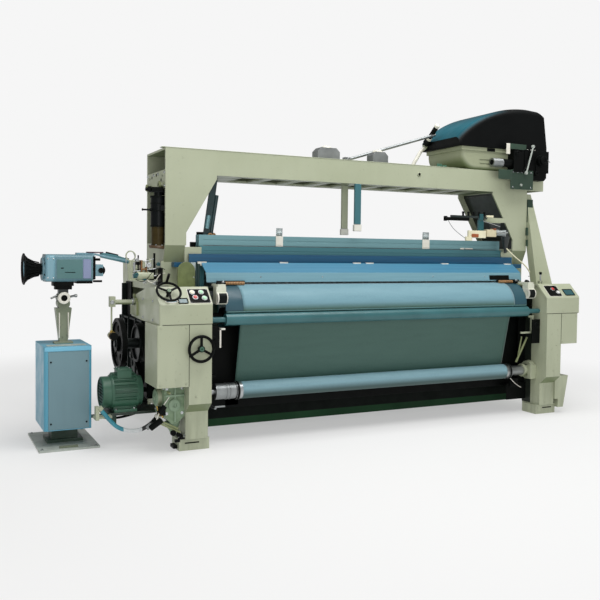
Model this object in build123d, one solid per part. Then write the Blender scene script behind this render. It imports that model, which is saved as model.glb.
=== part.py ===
from build123d import *
import os
from math import acos, atan2, cos, degrees, hypot, pi, radians, sin, sqrt, tan

os.makedirs("parts", exist_ok=True)

# Power loom with overhead dobby and a weft feeder on its own stand.
# X runs across the cloth, Y from the weaver to the warp beam, Z up. Millimetres.
# Everything is drawn about the middle of the cloth and moved to the origin last.

# Fits
RUN = 0.05  # radial clearance of a journal in its bearing
SOFT = 0.3  # clearance beside cloth, yarn and belt
SLIP = 0.3  # clearance of a push button in its hole

# Widths: the cloth sets the loom, and all else follows outwards from its edge
CLOTH_HALF = 960.0
REED_HALF = CLOTH_HALF + 40
FLANGE_HALF = CLOTH_HALF + 40
FRAME_IN = CLOTH_HALF + 209
FRAME_WALL = 125.0
FRAME_OUT = FRAME_IN + FRAME_WALL
BREAST_HALF = FRAME_IN - 107
PRESS_HALF = FRAME_IN - 103
BACK_HALF = FRAME_IN - 129
BARE_END = FRAME_IN - 71
HEALD_HALF = FRAME_IN - 63
SLEY_HALF = FRAME_IN - 59
GUARD_HALF = FRAME_IN - 41
UPPER_HALF = FRAME_IN + 11
JOURNAL_END = FRAME_IN + 58

# Side frames, one casting at each end
POST_FRONT = -765.0
LOW_FRONT = -708.0
POST_BOTTOM = 259.0
LOW_TOP = 210.0
FRAME_REAR = 620.0
DESK_SEAT = 681.0
FRAME_TOP = 870.0
FOOT_HEIGHT = 62.0
FOOT_FRONT = -691.0
FOOT_LENGTH = 131.0
FOOT_FLARE = 29.0
ARCH = 140.0
WEB = 35.0
BOLT_R = 7.0

# Cross beams
CHEEK = 60.0
CHEEK_GAP = 6.0
BASE_FRONT = -410.0
BASE_DEPTH = 100.0
BASE_LOW = 52.0
BASE_TOP = 180.0
TIE_FRONT = 40.0

# Consoles
DESK_OUT = FRAME_OUT + 160
DESK_TAIL_IN = FRAME_OUT + 46
DESK_SHOULDER = 861.0
DESK_REAR = 842.0
DESK_EDGE = 784.0
DESK_CREST = 875.0
SLOPE_RUN = 92.0
DESK_BACK = -395.0
COVER_LOW = 355.0
COVER_BACK = -520.0
COVER_RIGHT_LOW = 476.0
COVER_OUT = FRAME_OUT + 171
COVER_RIGHT_OUT = FRAME_OUT + 146

# Cloth path
CLOTH = 1.2
BREAST_Y = -546.0
BREAST_Z = 740.0
BREAST_R = 140.0
BREAST_SKIN = 10.0
PRESS_Y = -681.5
PRESS_Z = 695.0
PRESS_R = 32.5
TAKE_R = 45.0
ROLL_Y = -607.0
ROLL_Z = 290.0
ROLL_R = 48.0
COLLAR_R = 52.0
FELL_Y = -484.0
JOURNAL_R = 15.0

# Warp path
BEAM_Y = 520.0
BEAM_Z = 470.0
FLANGE_R = 380.0
FLANGE_T = 20.0
BARREL_R = 75.0
YARN_R = 300.0
BEAM_JOURNAL_R = 30.0
BACK_Y = 640.0
BACK_Z = 930.0
BACK_R = 60.0
WARP = 1.5
WARP_END = -240.0

# Main shaft, sley and heald frames
SHAFT_Y = -147.0
SHAFT_Z = 524.0
SHAFT_R = 30.0
FLY_X = -FRAME_OUT - 224
FLY_R = 150.0
PULLEY_X = -FRAME_OUT - 106
PULLEY_W = 40.0
PULLEY_R = 110.0
MOTOR_Y = -364.0
MOTOR_Z = 285.0
MOTOR_R = 95.0
MOTOR_LEFT = -FRAME_OUT - 371
MOTOR_RIGHT = -FRAME_OUT - 158
MOTOR_SHAFT_R = 14.0
SHELF_Z = MOTOR_Z - MOTOR_R - 8
MOTOR_PULLEY_R = 45.0
BELT = 8.0
ROCK_Y = -440.0
ROCK_Z = 520.0
ROCK_R = 28.0
SLEY_TOP = 862.0
REED_Y = -418.0
REED_TOP = 965.0
REED_T = 8.0
HEALDS = 4
HEALD_Y = -366.0
HEALD_PITCH = 22.0
HEALD_T = 12.0
HEALD_LOW_TOP = 1098.0
HEALD_LIFT = 64.0
HEALD_HEIGHT = 520.0
HEALD_RAIL = 60.0

# Guards over the sley
GUARD_T = 2.5

# Gantry
GANTRY_FRONT = -387.0
GANTRY_REAR = 4.0
GANTRY_OUT = FRAME_OUT + 22
GANTRY_IN = GANTRY_OUT - 123
GANTRY_FOOT_IN = GANTRY_IN + 43
GANTRY_END = GANTRY_OUT + 148
GANTRY_TOP = 1647.0
GANTRY_UNDER = GANTRY_TOP - 144
GUSSET_TOP_X = GANTRY_IN - 183
GUSSET_LOW_Z = 1171.0
KNEE_TOP = 1098.0
KNEE_LOW = 1003.0
KNEE_SET = 42.0
PLATE = 12.0
WEB_SET = 45.0
CAN_X = -GANTRY_OUT - 24
CAN_Y = -321.0
CAN_LOW = KNEE_TOP - 18

# Dobby
CASE_RIGHT = GANTRY_OUT - 182
CASE_LEFT = CASE_RIGHT - 394
CASE_TOP = GANTRY_TOP + 153
HOOD_LEFT = CASE_LEFT - 40
HOOD_RIGHT = GANTRY_OUT + 155
HOOD_RISE = 295.0
HOOD_TOP = CASE_TOP + HOOD_RISE
DRIVE_RIGHT = GANTRY_OUT + 134
HOOD_FRONT = -405.0
HOOD_BACK = 25.0

# Weft feeder stand
STAND_X = -FRAME_OUT - 551
STAND_Y = -215.0
STAND_PLATE_X = 315.0
STAND_PLATE_Y = 460.0
BOX_W = 250.0
BOX_D = 340.0
BOX_LOW = 98.0
BOX_TOP = 548.0
TILT_Z = BOX_TOP + 252
HEAD_LOW = TILT_Z + 90
HEAD_TOP = TILT_Z + 240
HEAD_AXIS_Z = TILT_Z + 158
WHEEL_AXIS_Z = TILT_Z + 152
BOOM_END = -DESK_OUT - 28
DISC_REACH = 212.0


def block(x0, x1, y0, y1, z0, z1):
    centre = ((x0 + x1) / 2, (y0 + y1) / 2, (z0 + z1) / 2)
    return Pos(*centre) * Box(abs(x1 - x0), abs(y1 - y0), abs(z1 - z0))


def rod_x(r, x0, x1, y, z):
    return Pos((x0 + x1) / 2, y, z) * Rot(0, 90, 0) * Cylinder(r, abs(x1 - x0))


def rod_y(r, x, y0, y1, z):
    return Pos(x, (y0 + y1) / 2, z) * Rot(90, 0, 0) * Cylinder(r, abs(y1 - y0))


def rod_z(r, x, y, z0, z1):
    return Pos(x, y, (z0 + z1) / 2) * Cylinder(r, abs(z1 - z0))


def bar(start, end, r):
    """Round bar between two points."""
    line = Vector(*end) - Vector(*start)
    middle = (Vector(*start) + Vector(*end)) * 0.5
    return Plane(origin=middle, z_dir=line) * Cylinder(r, line.length)


def side_plate(points, x0, x1):
    """Outline in Y and Z, thickness along X."""
    low, high = min(x0, x1), max(x0, x1)
    face = Plane.YZ.offset(low) * Polygon(*points, align=None)
    return extrude(face, amount=high - low, dir=(1, 0, 0))


def front_plate(points, y0, y1):
    """Outline in X and Z, thickness along Y."""
    face = Plane.XZ.offset(-y1) * Polygon(*points, align=None)
    return extrude(face, amount=y1 - y0, dir=(0, -1, 0))


def mirrored(shape):
    return mirror(shape, about=Plane.YZ)


def both_sides(shape):
    return shape + mirrored(shape)


def export(shape, node):
    placed = Pos(MOVE_X, MOVE_Y, 0) * shape
    solids = placed.solids()
    export_step(solids[0] if len(solids) == 1 else Compound(solids), f"parts/{node}.step")


def tangent(c1, rho1, c2, rho2, turn):
    """Unit normal of a line that touches two circles; signed radii pick the sides."""
    dy, dz = c2[0] - c1[0], c2[1] - c1[1]
    angle = atan2(dz, dy) + turn * acos((rho1 - rho2) / hypot(dy, dz))
    return cos(angle), sin(angle), degrees(angle) % 360


def on_circle(c, rho, angle):
    return c[0] + rho * cos(radians(angle)), c[1] + rho * sin(radians(angle))


def ribbon(runs, thickness, half_width):
    """Thin sheet through runs of points and arcs in Y and Z, drawn on its two faces.

    A run is (centre, radius, first angle, last angle, side): side is +1 where the
    sheet's left face is the outer one of that arc. A radius of 0 is a plain end."""
    faces = []
    for edge in (1, -1):
        edges = []
        last = None
        for c, rho, a0, a1, side in runs:
            if rho == 0:
                first = stop = on_circle(c, edge * thickness / 2, a0)
            else:
                r = rho + edge * side * thickness / 2
                first, stop = on_circle(c, r, a0), on_circle(c, r, a1)
            if last and hypot(first[0] - last[0], first[1] - last[1]) > 0.001:
                edges.append(Line(last, first))
            if rho:
                edges.append(ThreePointArc(first, on_circle(c, r, (a0 + a1) / 2), stop))
            last = stop
        faces.append((edges, last))
    starts = [edges[0] @ 0 for edges, _ in faces]
    ends = [last for _, last in faces]
    loop = faces[0][0] + [Line(ends[0], ends[1])] + faces[1][0]
    loop.append(Line(tuple(starts[1])[:2], tuple(starts[0])[:2]))
    face = make_face(Curve() + loop)
    return extrude(Plane.YZ.offset(-half_width) * face, amount=2 * half_width, dir=(1, 0, 0))


def side_outline():
    rear_foot = FRAME_REAR - FOOT_LENGTH
    return [
        (FOOT_FRONT, 0),
        (FOOT_FRONT + FOOT_LENGTH, 0),
        (FOOT_FRONT + FOOT_LENGTH + 40, ARCH),
        (rear_foot - 40, ARCH),
        (rear_foot, 0),
        (FRAME_REAR, 0),
        (BACK_Y + 20, BEAM_Z),
        (BACK_Y + 70, BACK_Z - 30),
        (BACK_Y + 70, BACK_Z + 70),
        (BACK_Y - 50, BACK_Z + 70),
        (BACK_Y - 80, FRAME_TOP),
        (DESK_BACK + 5, FRAME_TOP),
        (DESK_BACK + 5, DESK_SEAT),
        (POST_FRONT, DESK_SEAT),
        (POST_FRONT, POST_BOTTOM),
        (LOW_FRONT, LOW_TOP),
        (LOW_FRONT, FOOT_HEIGHT),
        (FOOT_FRONT, FOOT_HEIGHT),
    ]


# Bearings that both side frames carry: place in Y and Z, bore radius
BEARINGS = [
    (ROCK_Y, ROCK_Z, ROCK_R),
    (PRESS_Y, PRESS_Z, JOURNAL_R),
    (ROLL_Y, ROLL_Z, JOURNAL_R),
    (SHAFT_Y, SHAFT_Z, SHAFT_R),
    (BEAM_Y, BEAM_Z, BEAM_JOURNAL_R),
    (BACK_Y, BACK_Z, JOURNAL_R),
]
PRESS_OUT = PRESS_R + SOFT + CLOTH / 2
LEAVE = tangent((PRESS_Y, PRESS_Z), PRESS_OUT, (ROLL_Y, ROLL_Z), ROLL_R + SOFT + CLOTH / 2, 1)
NIP = PRESS_R + CLOTH + 2 * SOFT + TAKE_R
TAKE_Y = PRESS_Y + NIP * LEAVE[0]
TAKE_Z = PRESS_Z + NIP * LEAVE[1]
BEARINGS.append((TAKE_Y, TAKE_Z, JOURNAL_R))


def cheek_outline():
    back = DESK_BACK + 6
    front = POST_FRONT + CHEEK_GAP
    crest = POST_FRONT + SLOPE_RUN + CHEEK_GAP
    return [
        (front, DESK_SEAT - 20),
        (front, DESK_EDGE - 2 * CHEEK_GAP),
        (crest, DESK_CREST - 3 * CHEEK_GAP),
        (-488, DESK_SHOULDER - 2 * CHEEK_GAP),
        (back, DESK_REAR - 2 * CHEEK_GAP),
        (back, DESK_SEAT - 20),
    ]


def side_frame():
    """Right-hand casting: thick rim, thin web with bosses, foot pads and bores."""
    body = side_plate(side_outline(), FRAME_IN, FRAME_OUT)
    pocket = [
        (POST_FRONT + 330, ARCH + 50),
        (FRAME_REAR - 190, ARCH + 50),
        (FRAME_REAR - 40, BEAM_Z - 60),
        (BACK_Y - 30, BACK_Z - 110),
        (BACK_Y - 130, FRAME_TOP - 40),
        (DESK_BACK + 60, FRAME_TOP - 40),
        (POST_FRONT + 330, DESK_SEAT - 120),
    ]
    body -= side_plate(pocket, FRAME_IN + WEB, FRAME_OUT + 1)
    body += side_plate(cheek_outline(), FRAME_IN, FRAME_IN + CHEEK)
    for y, z in ((SHAFT_Y, SHAFT_Z), (BEAM_Y, BEAM_Z)):
        body += rod_x(70, FRAME_IN + WEB - 5, FRAME_OUT, y, z)
    body += block(FRAME_IN + WEB - 5, FRAME_OUT - 20, 150, 175, ARCH + 10, FRAME_TOP - 10)
    foot_in = FRAME_IN - FOOT_FLARE / 2
    foot_out = FRAME_OUT + FOOT_FLARE
    for y in (FOOT_FRONT, FRAME_REAR - FOOT_LENGTH):
        body += block(foot_in, foot_out, y, y + FOOT_LENGTH, 0, FOOT_HEIGHT)
    for y, z, r in BEARINGS:
        body -= rod_x(r + RUN, FRAME_IN - 1, JOURNAL_END + 2, y, z)
    for x, y in bolt_places():
        body -= rod_z(BOLT_R + RUN, x, y, 20, FOOT_HEIGHT + 1)
    return body


def bolt_places():
    x = FRAME_OUT + FOOT_FLARE / 2
    rear = FRAME_REAR - FOOT_LENGTH
    return [(x, foot + side) for foot in (FOOT_FRONT, rear) for side in (26, FOOT_LENGTH - 26)]


def levelling_feet():
    group = []
    for x, y in bolt_places():
        bolt = rod_z(BOLT_R, x, y, 22, FOOT_HEIGHT + 34)
        hexagon = Pos(x, y, FOOT_HEIGHT) * extrude(RegularPolygon(13, 6), 12)
        group.append(bolt + hexagon)
        group.append(mirrored(bolt + hexagon))
    return Compound(group)


def side_frame_left():
    body = mirrored(side_frame())
    # shelf for the motor, gear case below the cover, bore for the shaft and wheel
    shelf_low = SHELF_Z - 14
    shelf_end = MOTOR_LEFT + 25
    body += block(shelf_end, -FRAME_OUT, MOTOR_Y - 90, MOTOR_Y + 90, shelf_low, SHELF_Z)
    case = block(-FRAME_OUT - 110, -FRAME_OUT, POST_FRONT + 75, COVER_BACK + 10, 150, COVER_LOW - 6)
    case = chamfer(case.edges().filter_by(Axis.Y).group_by(Axis.Z)[0], 40)
    body += case
    # bracket that carries the hose's upper fitting
    arm = shelf_end - 90
    body += block(arm, shelf_end + 4, HOSE_Y + 25, MOTOR_Y - 60, shelf_low, SHELF_Z - 2)
    body += block(arm, arm + 18, HOSE_Y - 12, HOSE_Y + 26, shelf_low, HOSE[0][2] + 21)
    away = (Vector(*HOSE[0]) - Vector(*HOSE[1])).normalized()
    body += bar(tuple(Vector(*HOSE[0]) + away * 20), tuple(Vector(*HOSE[0]) + away * 0.5), 16)
    body += rod_x(48, -FRAME_OUT - 130, -FRAME_OUT - 100, POST_FRONT + 165, 280)
    body -= rod_x(SHAFT_R + RUN, -FRAME_OUT - 1, -FRAME_IN, SHAFT_Y, SHAFT_Z)
    body -= rod_y(WHEEL_SHAFT_R + RUN, WHEEL_X, POST_FRONT - 1, POST_FRONT + 40, WHEEL_Z)
    return body


def side_frame_right():
    body = side_frame()
    x0 = BARE_END + 7
    return body + rod_x(38, x0, FRAME_IN, ROLL_Y, ROLL_Z) - rod_x(JOURNAL_R + RUN, x0 - 5, JOURNAL_END + 2, ROLL_Y, ROLL_Z)


def cross_beams():
    front = block(-FRAME_IN, FRAME_IN, BASE_FRONT, BASE_FRONT + BASE_DEPTH, BASE_LOW, BASE_TOP)
    front -= block(-FRAME_IN - 1, FRAME_IN + 1, BASE_FRONT + 10, BASE_FRONT + BASE_DEPTH + 1, BASE_LOW + 10, BASE_TOP - 10)
    tie = block(-FRAME_IN, FRAME_IN, TIE_FRONT, TIE_FRONT + 80, 60, BASE_TOP)
    tie -= block(-FRAME_IN - 1, FRAME_IN + 1, TIE_FRONT - 1, TIE_FRONT + 70, 70, BASE_TOP - 10)
    return Compound([front, tie])


# Controls on the sloping desk fronts
SLOPE = degrees(atan2(DESK_CREST - DESK_EDGE, SLOPE_RUN))
BUTTON_R = 11.0
BUTTON_UP = 8.0
BUTTON_TRAVEL = 4.0
BUTTON_DEEP = 12.0
DESK_WHEEL_X = -DESK_OUT + 55
DESK_WHEEL_R = 62.0
DESK_WHEEL_UP = 34.0
DESK_SHAFT_R = 8.0
WHEEL_X = -FRAME_IN - 68
WHEEL_Z = 554.0
WHEEL_R = 66.0
WHEEL_SHAFT_R = 10.0
WHEEL_FRONT = POST_FRONT - 29
# Buttons: node, place across, place up the slope from its middle
LEFT_BUTTONS = [
    ("button_cream", -FRAME_IN - 93, 22.0),
    ("button_red", -FRAME_IN - 83, -14.0),
    ("button_green_upper", -FRAME_IN - 43, 22.0),
    ("button_green_lower", -FRAME_IN - 33, -20.0),
]
RIGHT_BUTTONS = [
    ("button_right_red", FRAME_IN + 93, 14.0),
    ("button_right_white", FRAME_IN + 121, -16.0),
]
VALVE_X = -DESK_OUT - 142
VALVE_Y = -300.0
VALVE_Z = 590.0
LEVER_X = FRAME_IN + 50
LEVER_Y = -640.0
LEVER_Z = DESK_CREST + 10
LEVER_PIN_R = 5.0


def on_slope(x, up, lift):
    """Plane on a desk's slope: up along the slope from its middle, lift above it."""
    middle = (POST_FRONT + SLOPE_RUN / 2, (DESK_EDGE + DESK_CREST) / 2)
    c, s = cos(radians(SLOPE)), sin(radians(SLOPE))
    y = middle[0] + up * c - lift * s
    z = middle[1] + up * s + lift * c
    return Plane(origin=(x, y, z), x_dir=(1, 0, 0), z_dir=(0, -s, c))


def pin_on_slope(x, up, r, low, high):
    return on_slope(x, up, (low + high) / 2) * Cylinder(r, high - low)


def desk_block():
    """Right-hand desk: sloping front, low crest and a tail beside the gantry foot."""
    front = [
        (POST_FRONT, DESK_SEAT),
        (POST_FRONT, DESK_EDGE),
        (POST_FRONT + SLOPE_RUN, DESK_CREST),
        (-488, DESK_SHOULDER),
        (DESK_BACK, DESK_REAR),
        (DESK_BACK, DESK_SEAT),
    ]
    body = side_plate(front, FRAME_IN - 5, DESK_OUT)
    tail = [(DESK_BACK, DESK_REAR), (-223, DESK_REAR - 35), (-178, DESK_SEAT + 9), (DESK_BACK, DESK_SEAT)]
    body += side_plate(tail, DESK_TAIL_IN, DESK_OUT)
    edge = body.edges().filter_by(Axis.Z).group_by(Axis.Y)[0]
    return fillet(edge, 8)


def desk():
    pocket = [(y, z - 0.001 if z < DESK_SEAT else z + 3) for y, z in cheek_outline()]
    return desk_block() - side_plate(pocket, FRAME_IN - 6, FRAME_IN + CHEEK + 1)


def console_left():
    body = mirrored(desk())
    for _, x, up in LEFT_BUTTONS:
        body -= pin_on_slope(x, up, BUTTON_R + SLIP, -BUTTON_DEEP, 5)
    body -= pin_on_slope(DESK_WHEEL_X, 0, DESK_SHAFT_R + RUN, -40, 5)
    return body


def lever_lugs():
    low, high = LEVER_Z - 25, LEVER_Z + 9
    lugs = block(LEVER_X - 14, LEVER_X + 14, LEVER_Y - 12, LEVER_Y + 12, low, high)
    lugs -= block(LEVER_X - 6, LEVER_X + 6, LEVER_Y - 13, LEVER_Y + 13, LEVER_Z - 9, high + 1)
    return lugs - rod_x(LEVER_PIN_R, LEVER_X - 15, LEVER_X + 15, LEVER_Y, LEVER_Z)


def console_right():
    body = desk() + lever_lugs()
    for _, x, up in RIGHT_BUTTONS:
        body -= pin_on_slope(x, up, BUTTON_R + SLIP, -BUTTON_DEEP, 5)
    return body


def lever_right():
    tip = LEVER_Z + 60
    pin = rod_x(LEVER_PIN_R - RUN, LEVER_X - 14, LEVER_X + 14, LEVER_Y, LEVER_Z)
    eye = rod_x(8, LEVER_X - 5, LEVER_X + 5, LEVER_Y, LEVER_Z)
    stem = rod_z(4.5, LEVER_X, LEVER_Y, LEVER_Z, tip)
    return pin + eye + stem + Pos(LEVER_X, LEVER_Y, tip) * Sphere(9)


def button(x, up):
    cap = pin_on_slope(x, up, BUTTON_R, -BUTTON_DEEP + BUTTON_TRAVEL + 1, BUTTON_UP)
    top = cap.edges().sort_by(Axis.Z)[-1]
    return fillet(top, 2)


def desk_wheel():
    """Ring wheel with three spokes, hub, shaft and a winding handle."""
    plane = on_slope(DESK_WHEEL_X, 0, DESK_WHEEL_UP)
    wheel = plane * Torus(DESK_WHEEL_R, 6.5)
    wheel += plane * Cylinder(14, 16)
    for n in range(3):
        spoke = Pos(DESK_WHEEL_R / 2, 0, 0) * Box(DESK_WHEEL_R, 10, 6)
        wheel += plane * (Rot(0, 0, 120 * n + 30) * spoke)
    wheel += pin_on_slope(DESK_WHEEL_X, 0, DESK_SHAFT_R, -39, DESK_WHEEL_UP)
    grip = Pos(0, DESK_WHEEL_R, 34) * Cylinder(7, 62)
    return wheel + plane * grip


def take_up_wheel():
    plane = Plane(origin=(WHEEL_X, WHEEL_FRONT, WHEEL_Z), x_dir=(1, 0, 0), z_dir=(0, -1, 0))
    wheel = plane * Torus(WHEEL_R, 8)
    wheel += rod_y(17, WHEEL_X, WHEEL_FRONT - 8, WHEEL_FRONT + 12, WHEEL_Z)
    for n in range(3):
        spoke = Pos(WHEEL_R / 2, 0, 0) * Box(WHEEL_R, 13, 7)
        wheel += plane * (Rot(0, 0, 120 * n + 90) * spoke)
    return wheel + rod_y(WHEEL_SHAFT_R, WHEEL_X, WHEEL_FRONT, POST_FRONT + 39, WHEEL_Z)


def cover_left():
    body = block(-COVER_OUT, -FRAME_OUT, POST_FRONT, COVER_BACK, COVER_LOW, DESK_SEAT)
    edge = body.edges().filter_by(Axis.Z).group_by(Axis.X)[0]
    return fillet(edge, 6)


def covers_right():
    top = block(FRAME_OUT, COVER_RIGHT_OUT, POST_FRONT, COVER_BACK, COVER_RIGHT_LOW, DESK_SEAT)
    top = fillet(top.edges().filter_by(Axis.Z).group_by(Axis.X)[-1], 6)
    tank = [(FRAME_OUT, 40), (FRAME_OUT + 76, 40), (FRAME_OUT + 116, 253), (FRAME_OUT, 253)]
    low = front_plate(tank, LOW_FRONT - 12, FOOT_FRONT + FOOT_LENGTH - 40)
    low -= block(FRAME_OUT - 1, FRAME_OUT + FOOT_FLARE + 1, LOW_FRONT - 13, FOOT_FRONT + FOOT_LENGTH, 39, FOOT_HEIGHT + 36)
    return Compound([top, low])


def breast_beam():
    """Quarter-round skin over a bar that runs from side frame to side frame."""
    c = (BREAST_Y, BREAST_Z)
    r = BREAST_R
    inner = r - BREAST_SKIN
    outline = [
        ThreePointArc((c[0], c[1] + r), on_circle(c, r, 135), (c[0] - r, c[1])),
        Line((c[0] - r, c[1]), (c[0] - inner, c[1])),
        ThreePointArc((c[0] - inner, c[1]), on_circle(c, inner, 135), (c[0], c[1] + inner)),
        Line((c[0], c[1] + inner), (c[0], c[1] + r)),
    ]
    face = Plane.YZ.offset(-BREAST_HALF) * make_face(Curve() + outline)
    skin = extrude(face, amount=2 * BREAST_HALF, dir=(1, 0, 0))
    core_low = c[1] + 35
    core = [(c[0] - 94, core_low), (c[0] - 94, c[1] + 88), (c[0], c[1] + inner + 2), (c[0], core_low)]
    stub = [(c[0] - 94, core_low), (c[0] - 94, c[1] + 88), (c[0], c[1] + 105), (c[0], core_low)]
    body = skin + side_plate(core, -BREAST_HALF, BREAST_HALF)
    return body + both_sides(side_plate(stub, BREAST_HALF - 1, FRAME_IN))


def splash_guard():
    """Lower guard bent from one sheet on two legs, and the upper guard on two tabs."""
    low, bend, top = (-555, 893), (-544, 947), (-460, 1003)
    t = GUARD_T
    sheet = [low, bend, top, (top[0] + t, top[1] - 10), (bend[0] + t, bend[1] - t), (low[0] + t, low[1])]
    guard = side_plate(sheet, -GUARD_HALF, GUARD_HALF)
    leg_z = BREAST_Z + BREAST_R
    for x in (-BREAST_HALF + 2, 0, BREAST_HALF - 32):
        if x:
            guard += block(x, x + 30, low[0], low[0] + 8, leg_z, low[1] + 6)
    upper = block(-UPPER_HALF, UPPER_HALF, -398, -394, 1002, 1051)
    upper += block(-UPPER_HALF, UPPER_HALF, -394, -382, 1047, 1051)
    face = GANTRY_FRONT + KNEE_SET
    upper += both_sides(block(UPPER_HALF - 10, GANTRY_FOOT_IN + 30, -398, -394, 975, 1003))
    upper += both_sides(block(GANTRY_FOOT_IN + 2, GANTRY_FOOT_IN + 30, -394, face, 975, 1002))
    return Compound([guard, upper])


def gantry():
    """Portal welded from two face plates on a web that is set in from both their edges."""
    half = [
        (0, GANTRY_TOP),
        (GANTRY_OUT, GANTRY_TOP),
        (GANTRY_OUT, KNEE_TOP),
        (GANTRY_IN, KNEE_TOP),
        (GANTRY_IN, GUSSET_LOW_Z),
        (GUSSET_TOP_X, GANTRY_UNDER - 20),
        (GUSSET_TOP_X, GANTRY_UNDER),
        (0, GANTRY_UNDER),
    ]
    hollow = [
        (0, GANTRY_TOP - PLATE),
        (GANTRY_OUT + 1, GANTRY_TOP - PLATE),
        (GANTRY_OUT + 1, KNEE_TOP + PLATE),
        (GANTRY_IN + WEB_SET + PLATE, KNEE_TOP + PLATE),
        (GANTRY_IN + WEB_SET + PLATE, GUSSET_LOW_Z + 5),
        (GUSSET_TOP_X + WEB_SET + PLATE, GANTRY_UNDER - 14),
        (GUSSET_TOP_X + WEB_SET + PLATE, GANTRY_UNDER + PLATE),
        (0, GANTRY_UNDER + PLATE),
    ]
    recess = [
        (GANTRY_IN - 1, KNEE_TOP + PLATE),
        (GANTRY_IN + WEB_SET, KNEE_TOP + PLATE),
        (GANTRY_IN + WEB_SET, GUSSET_LOW_Z),
        (GUSSET_TOP_X + WEB_SET, GANTRY_UNDER - 20),
        (GUSSET_TOP_X + WEB_SET, GANTRY_UNDER),
        (GUSSET_TOP_X - 1, GANTRY_UNDER),
        (GUSSET_TOP_X - 1, GANTRY_UNDER - 20),
        (GANTRY_IN - 1, GUSSET_LOW_Z),
    ]
    body = front_plate(half, GANTRY_FRONT, GANTRY_REAR)
    for opening in (hollow, recess):
        body -= front_plate(opening, GANTRY_FRONT + PLATE, GANTRY_REAR - PLATE)
    # side plate with its holes closes the channel below the beam's open end
    side = block(GANTRY_OUT - PLATE, GANTRY_OUT, GANTRY_FRONT + 1, GANTRY_REAR - 1, GANTRY_UNDER - 83, GANTRY_UNDER + 20)
    for y in (-320, -60):
        side -= rod_x(9, GANTRY_OUT - 20, GANTRY_OUT + 1, y, GANTRY_UNDER - 13)
    body += side
    foot = [
        (GANTRY_FRONT, KNEE_TOP),
        (GANTRY_FRONT + KNEE_SET, KNEE_LOW),
        (GANTRY_FRONT + KNEE_SET, FRAME_TOP),
        (GANTRY_REAR, FRAME_TOP),
        (GANTRY_REAR, KNEE_TOP),
    ]
    leg = side_plate(foot, GANTRY_IN + 6, GANTRY_OUT)
    body += leg + heald_guide()
    whole = both_sides(body)
    # slots in the web under the beam
    for n in range(-4, 5):
        x = n * 200.0 + 40
        whole -= block(x - 70, x + 70, GANTRY_FRONT + 60, GANTRY_REAR - 60, GANTRY_UNDER - 1, GANTRY_UNDER + PLATE + 1)
    # bracket box for the dobby drive at the right end
    end = block(GANTRY_OUT - 1, GANTRY_END, GANTRY_FRONT, -180, GANTRY_UNDER + 22, GANTRY_TOP)
    end -= block(GANTRY_OUT, GANTRY_END - PLATE, GANTRY_FRONT + PLATE, -180 - PLATE, GANTRY_UNDER + 21, GANTRY_TOP - PLATE)
    whole -= rod_z(49, CAN_X, CAN_Y, CAN_LOW - 2, KNEE_TOP + PLATE + 1)
    for y in (-320, -60):
        whole += rod_x(15, -GANTRY_OUT - 14, -GANTRY_OUT + 2, y, GANTRY_UNDER - 63)
    return whole + end


def heald_guide():
    """Grooved block on the leg's inner side; the heald frames' ends run in it."""
    deep = 7.0
    last = HEALD_Y + (HEALDS - 1) * HEALD_PITCH
    side = HEALD_T / 2 + SOFT
    guide = block(HEALD_HALF - deep, GANTRY_IN + 7, HEALD_Y - 13, last + 13, KNEE_LOW, KNEE_TOP - 8)
    for n in range(HEALDS):
        y = HEALD_Y + n * HEALD_PITCH
        guide -= block(HEALD_HALF - deep - 1, HEALD_HALF + SOFT, y - side, y + side, KNEE_LOW - 1, KNEE_TOP)
    return guide


def gantry_edge(z):
    """Inner edge of the sloping gusset at a height."""
    share = (GANTRY_UNDER - 20 - z) / (GANTRY_UNDER - 20 - GUSSET_LOW_Z)
    return GUSSET_TOP_X + share * (GANTRY_IN - GUSSET_TOP_X)


def strut_right():
    """Tapered cover that leans from the top of the right leg to the desk."""
    top = Plane(origin=(GANTRY_OUT + 24, -345, GANTRY_UNDER - 3)) * Rectangle(40, 60)
    low = Plane(origin=(GANTRY_OUT + 77, -472, DESK_REAR - 2)) * Rectangle(148, 60)
    return loft([low, top]) - desk_block()


def centre_guides():
    """Two flat posts under the beam with nylon shoes for the heald frames."""
    group = []
    clear = HEALD_LOW_TOP + HEALD_LIFT + 22
    for y, low in ((GANTRY_FRONT + 3, clear + 21), (-217, clear)):
        post = block(-90, -50, y - 7, y + 7, low + 40, GANTRY_UNDER)
        shoe = block(-95, -45, y - 9, y + 9, low, low + 40)
        group.append(post + shoe)
    return Compound(group)


def dobby_case():
    """Bowl-shaped casing under the hood, with a rim and two ribs' grooves."""
    top_z = CASE_TOP
    low_z = GANTRY_TOP
    side, foot = (CASE_LEFT, low_z + 112), (CASE_LEFT + 112, low_z)
    outline = Curve() + [
        Line((CASE_LEFT, top_z), side),
        ThreePointArc(side, (CASE_LEFT + 33, low_z + 33), foot),
        Line(foot, (CASE_RIGHT, low_z)),
        Line((CASE_RIGHT, low_z), (CASE_RIGHT, top_z)),
        Line((CASE_RIGHT, top_z), (CASE_LEFT, top_z)),
    ]
    face = Plane.XZ.offset(-(GANTRY_REAR - 4)) * make_face(outline)
    body = extrude(face, amount=GANTRY_REAR - 4 - GANTRY_FRONT, dir=(0, -1, 0))
    lower = [e for e in body.edges() if abs(e.center().Y - GANTRY_FRONT) < 1 and e.center().Z < top_z - 60]
    body = fillet([e for e in lower if e.center().X < CASE_RIGHT - 1], 28)
    body += block(CASE_LEFT - 12, CASE_RIGHT, GANTRY_FRONT - 10, GANTRY_REAR + 6, top_z - 26, top_z)
    for z in (low_z + 69, low_z + 43):
        body -= block(CASE_LEFT + 150, CASE_RIGHT - 60, GANTRY_FRONT - 1, GANTRY_FRONT + 6, z - 4, z + 4)
    return body


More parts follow.
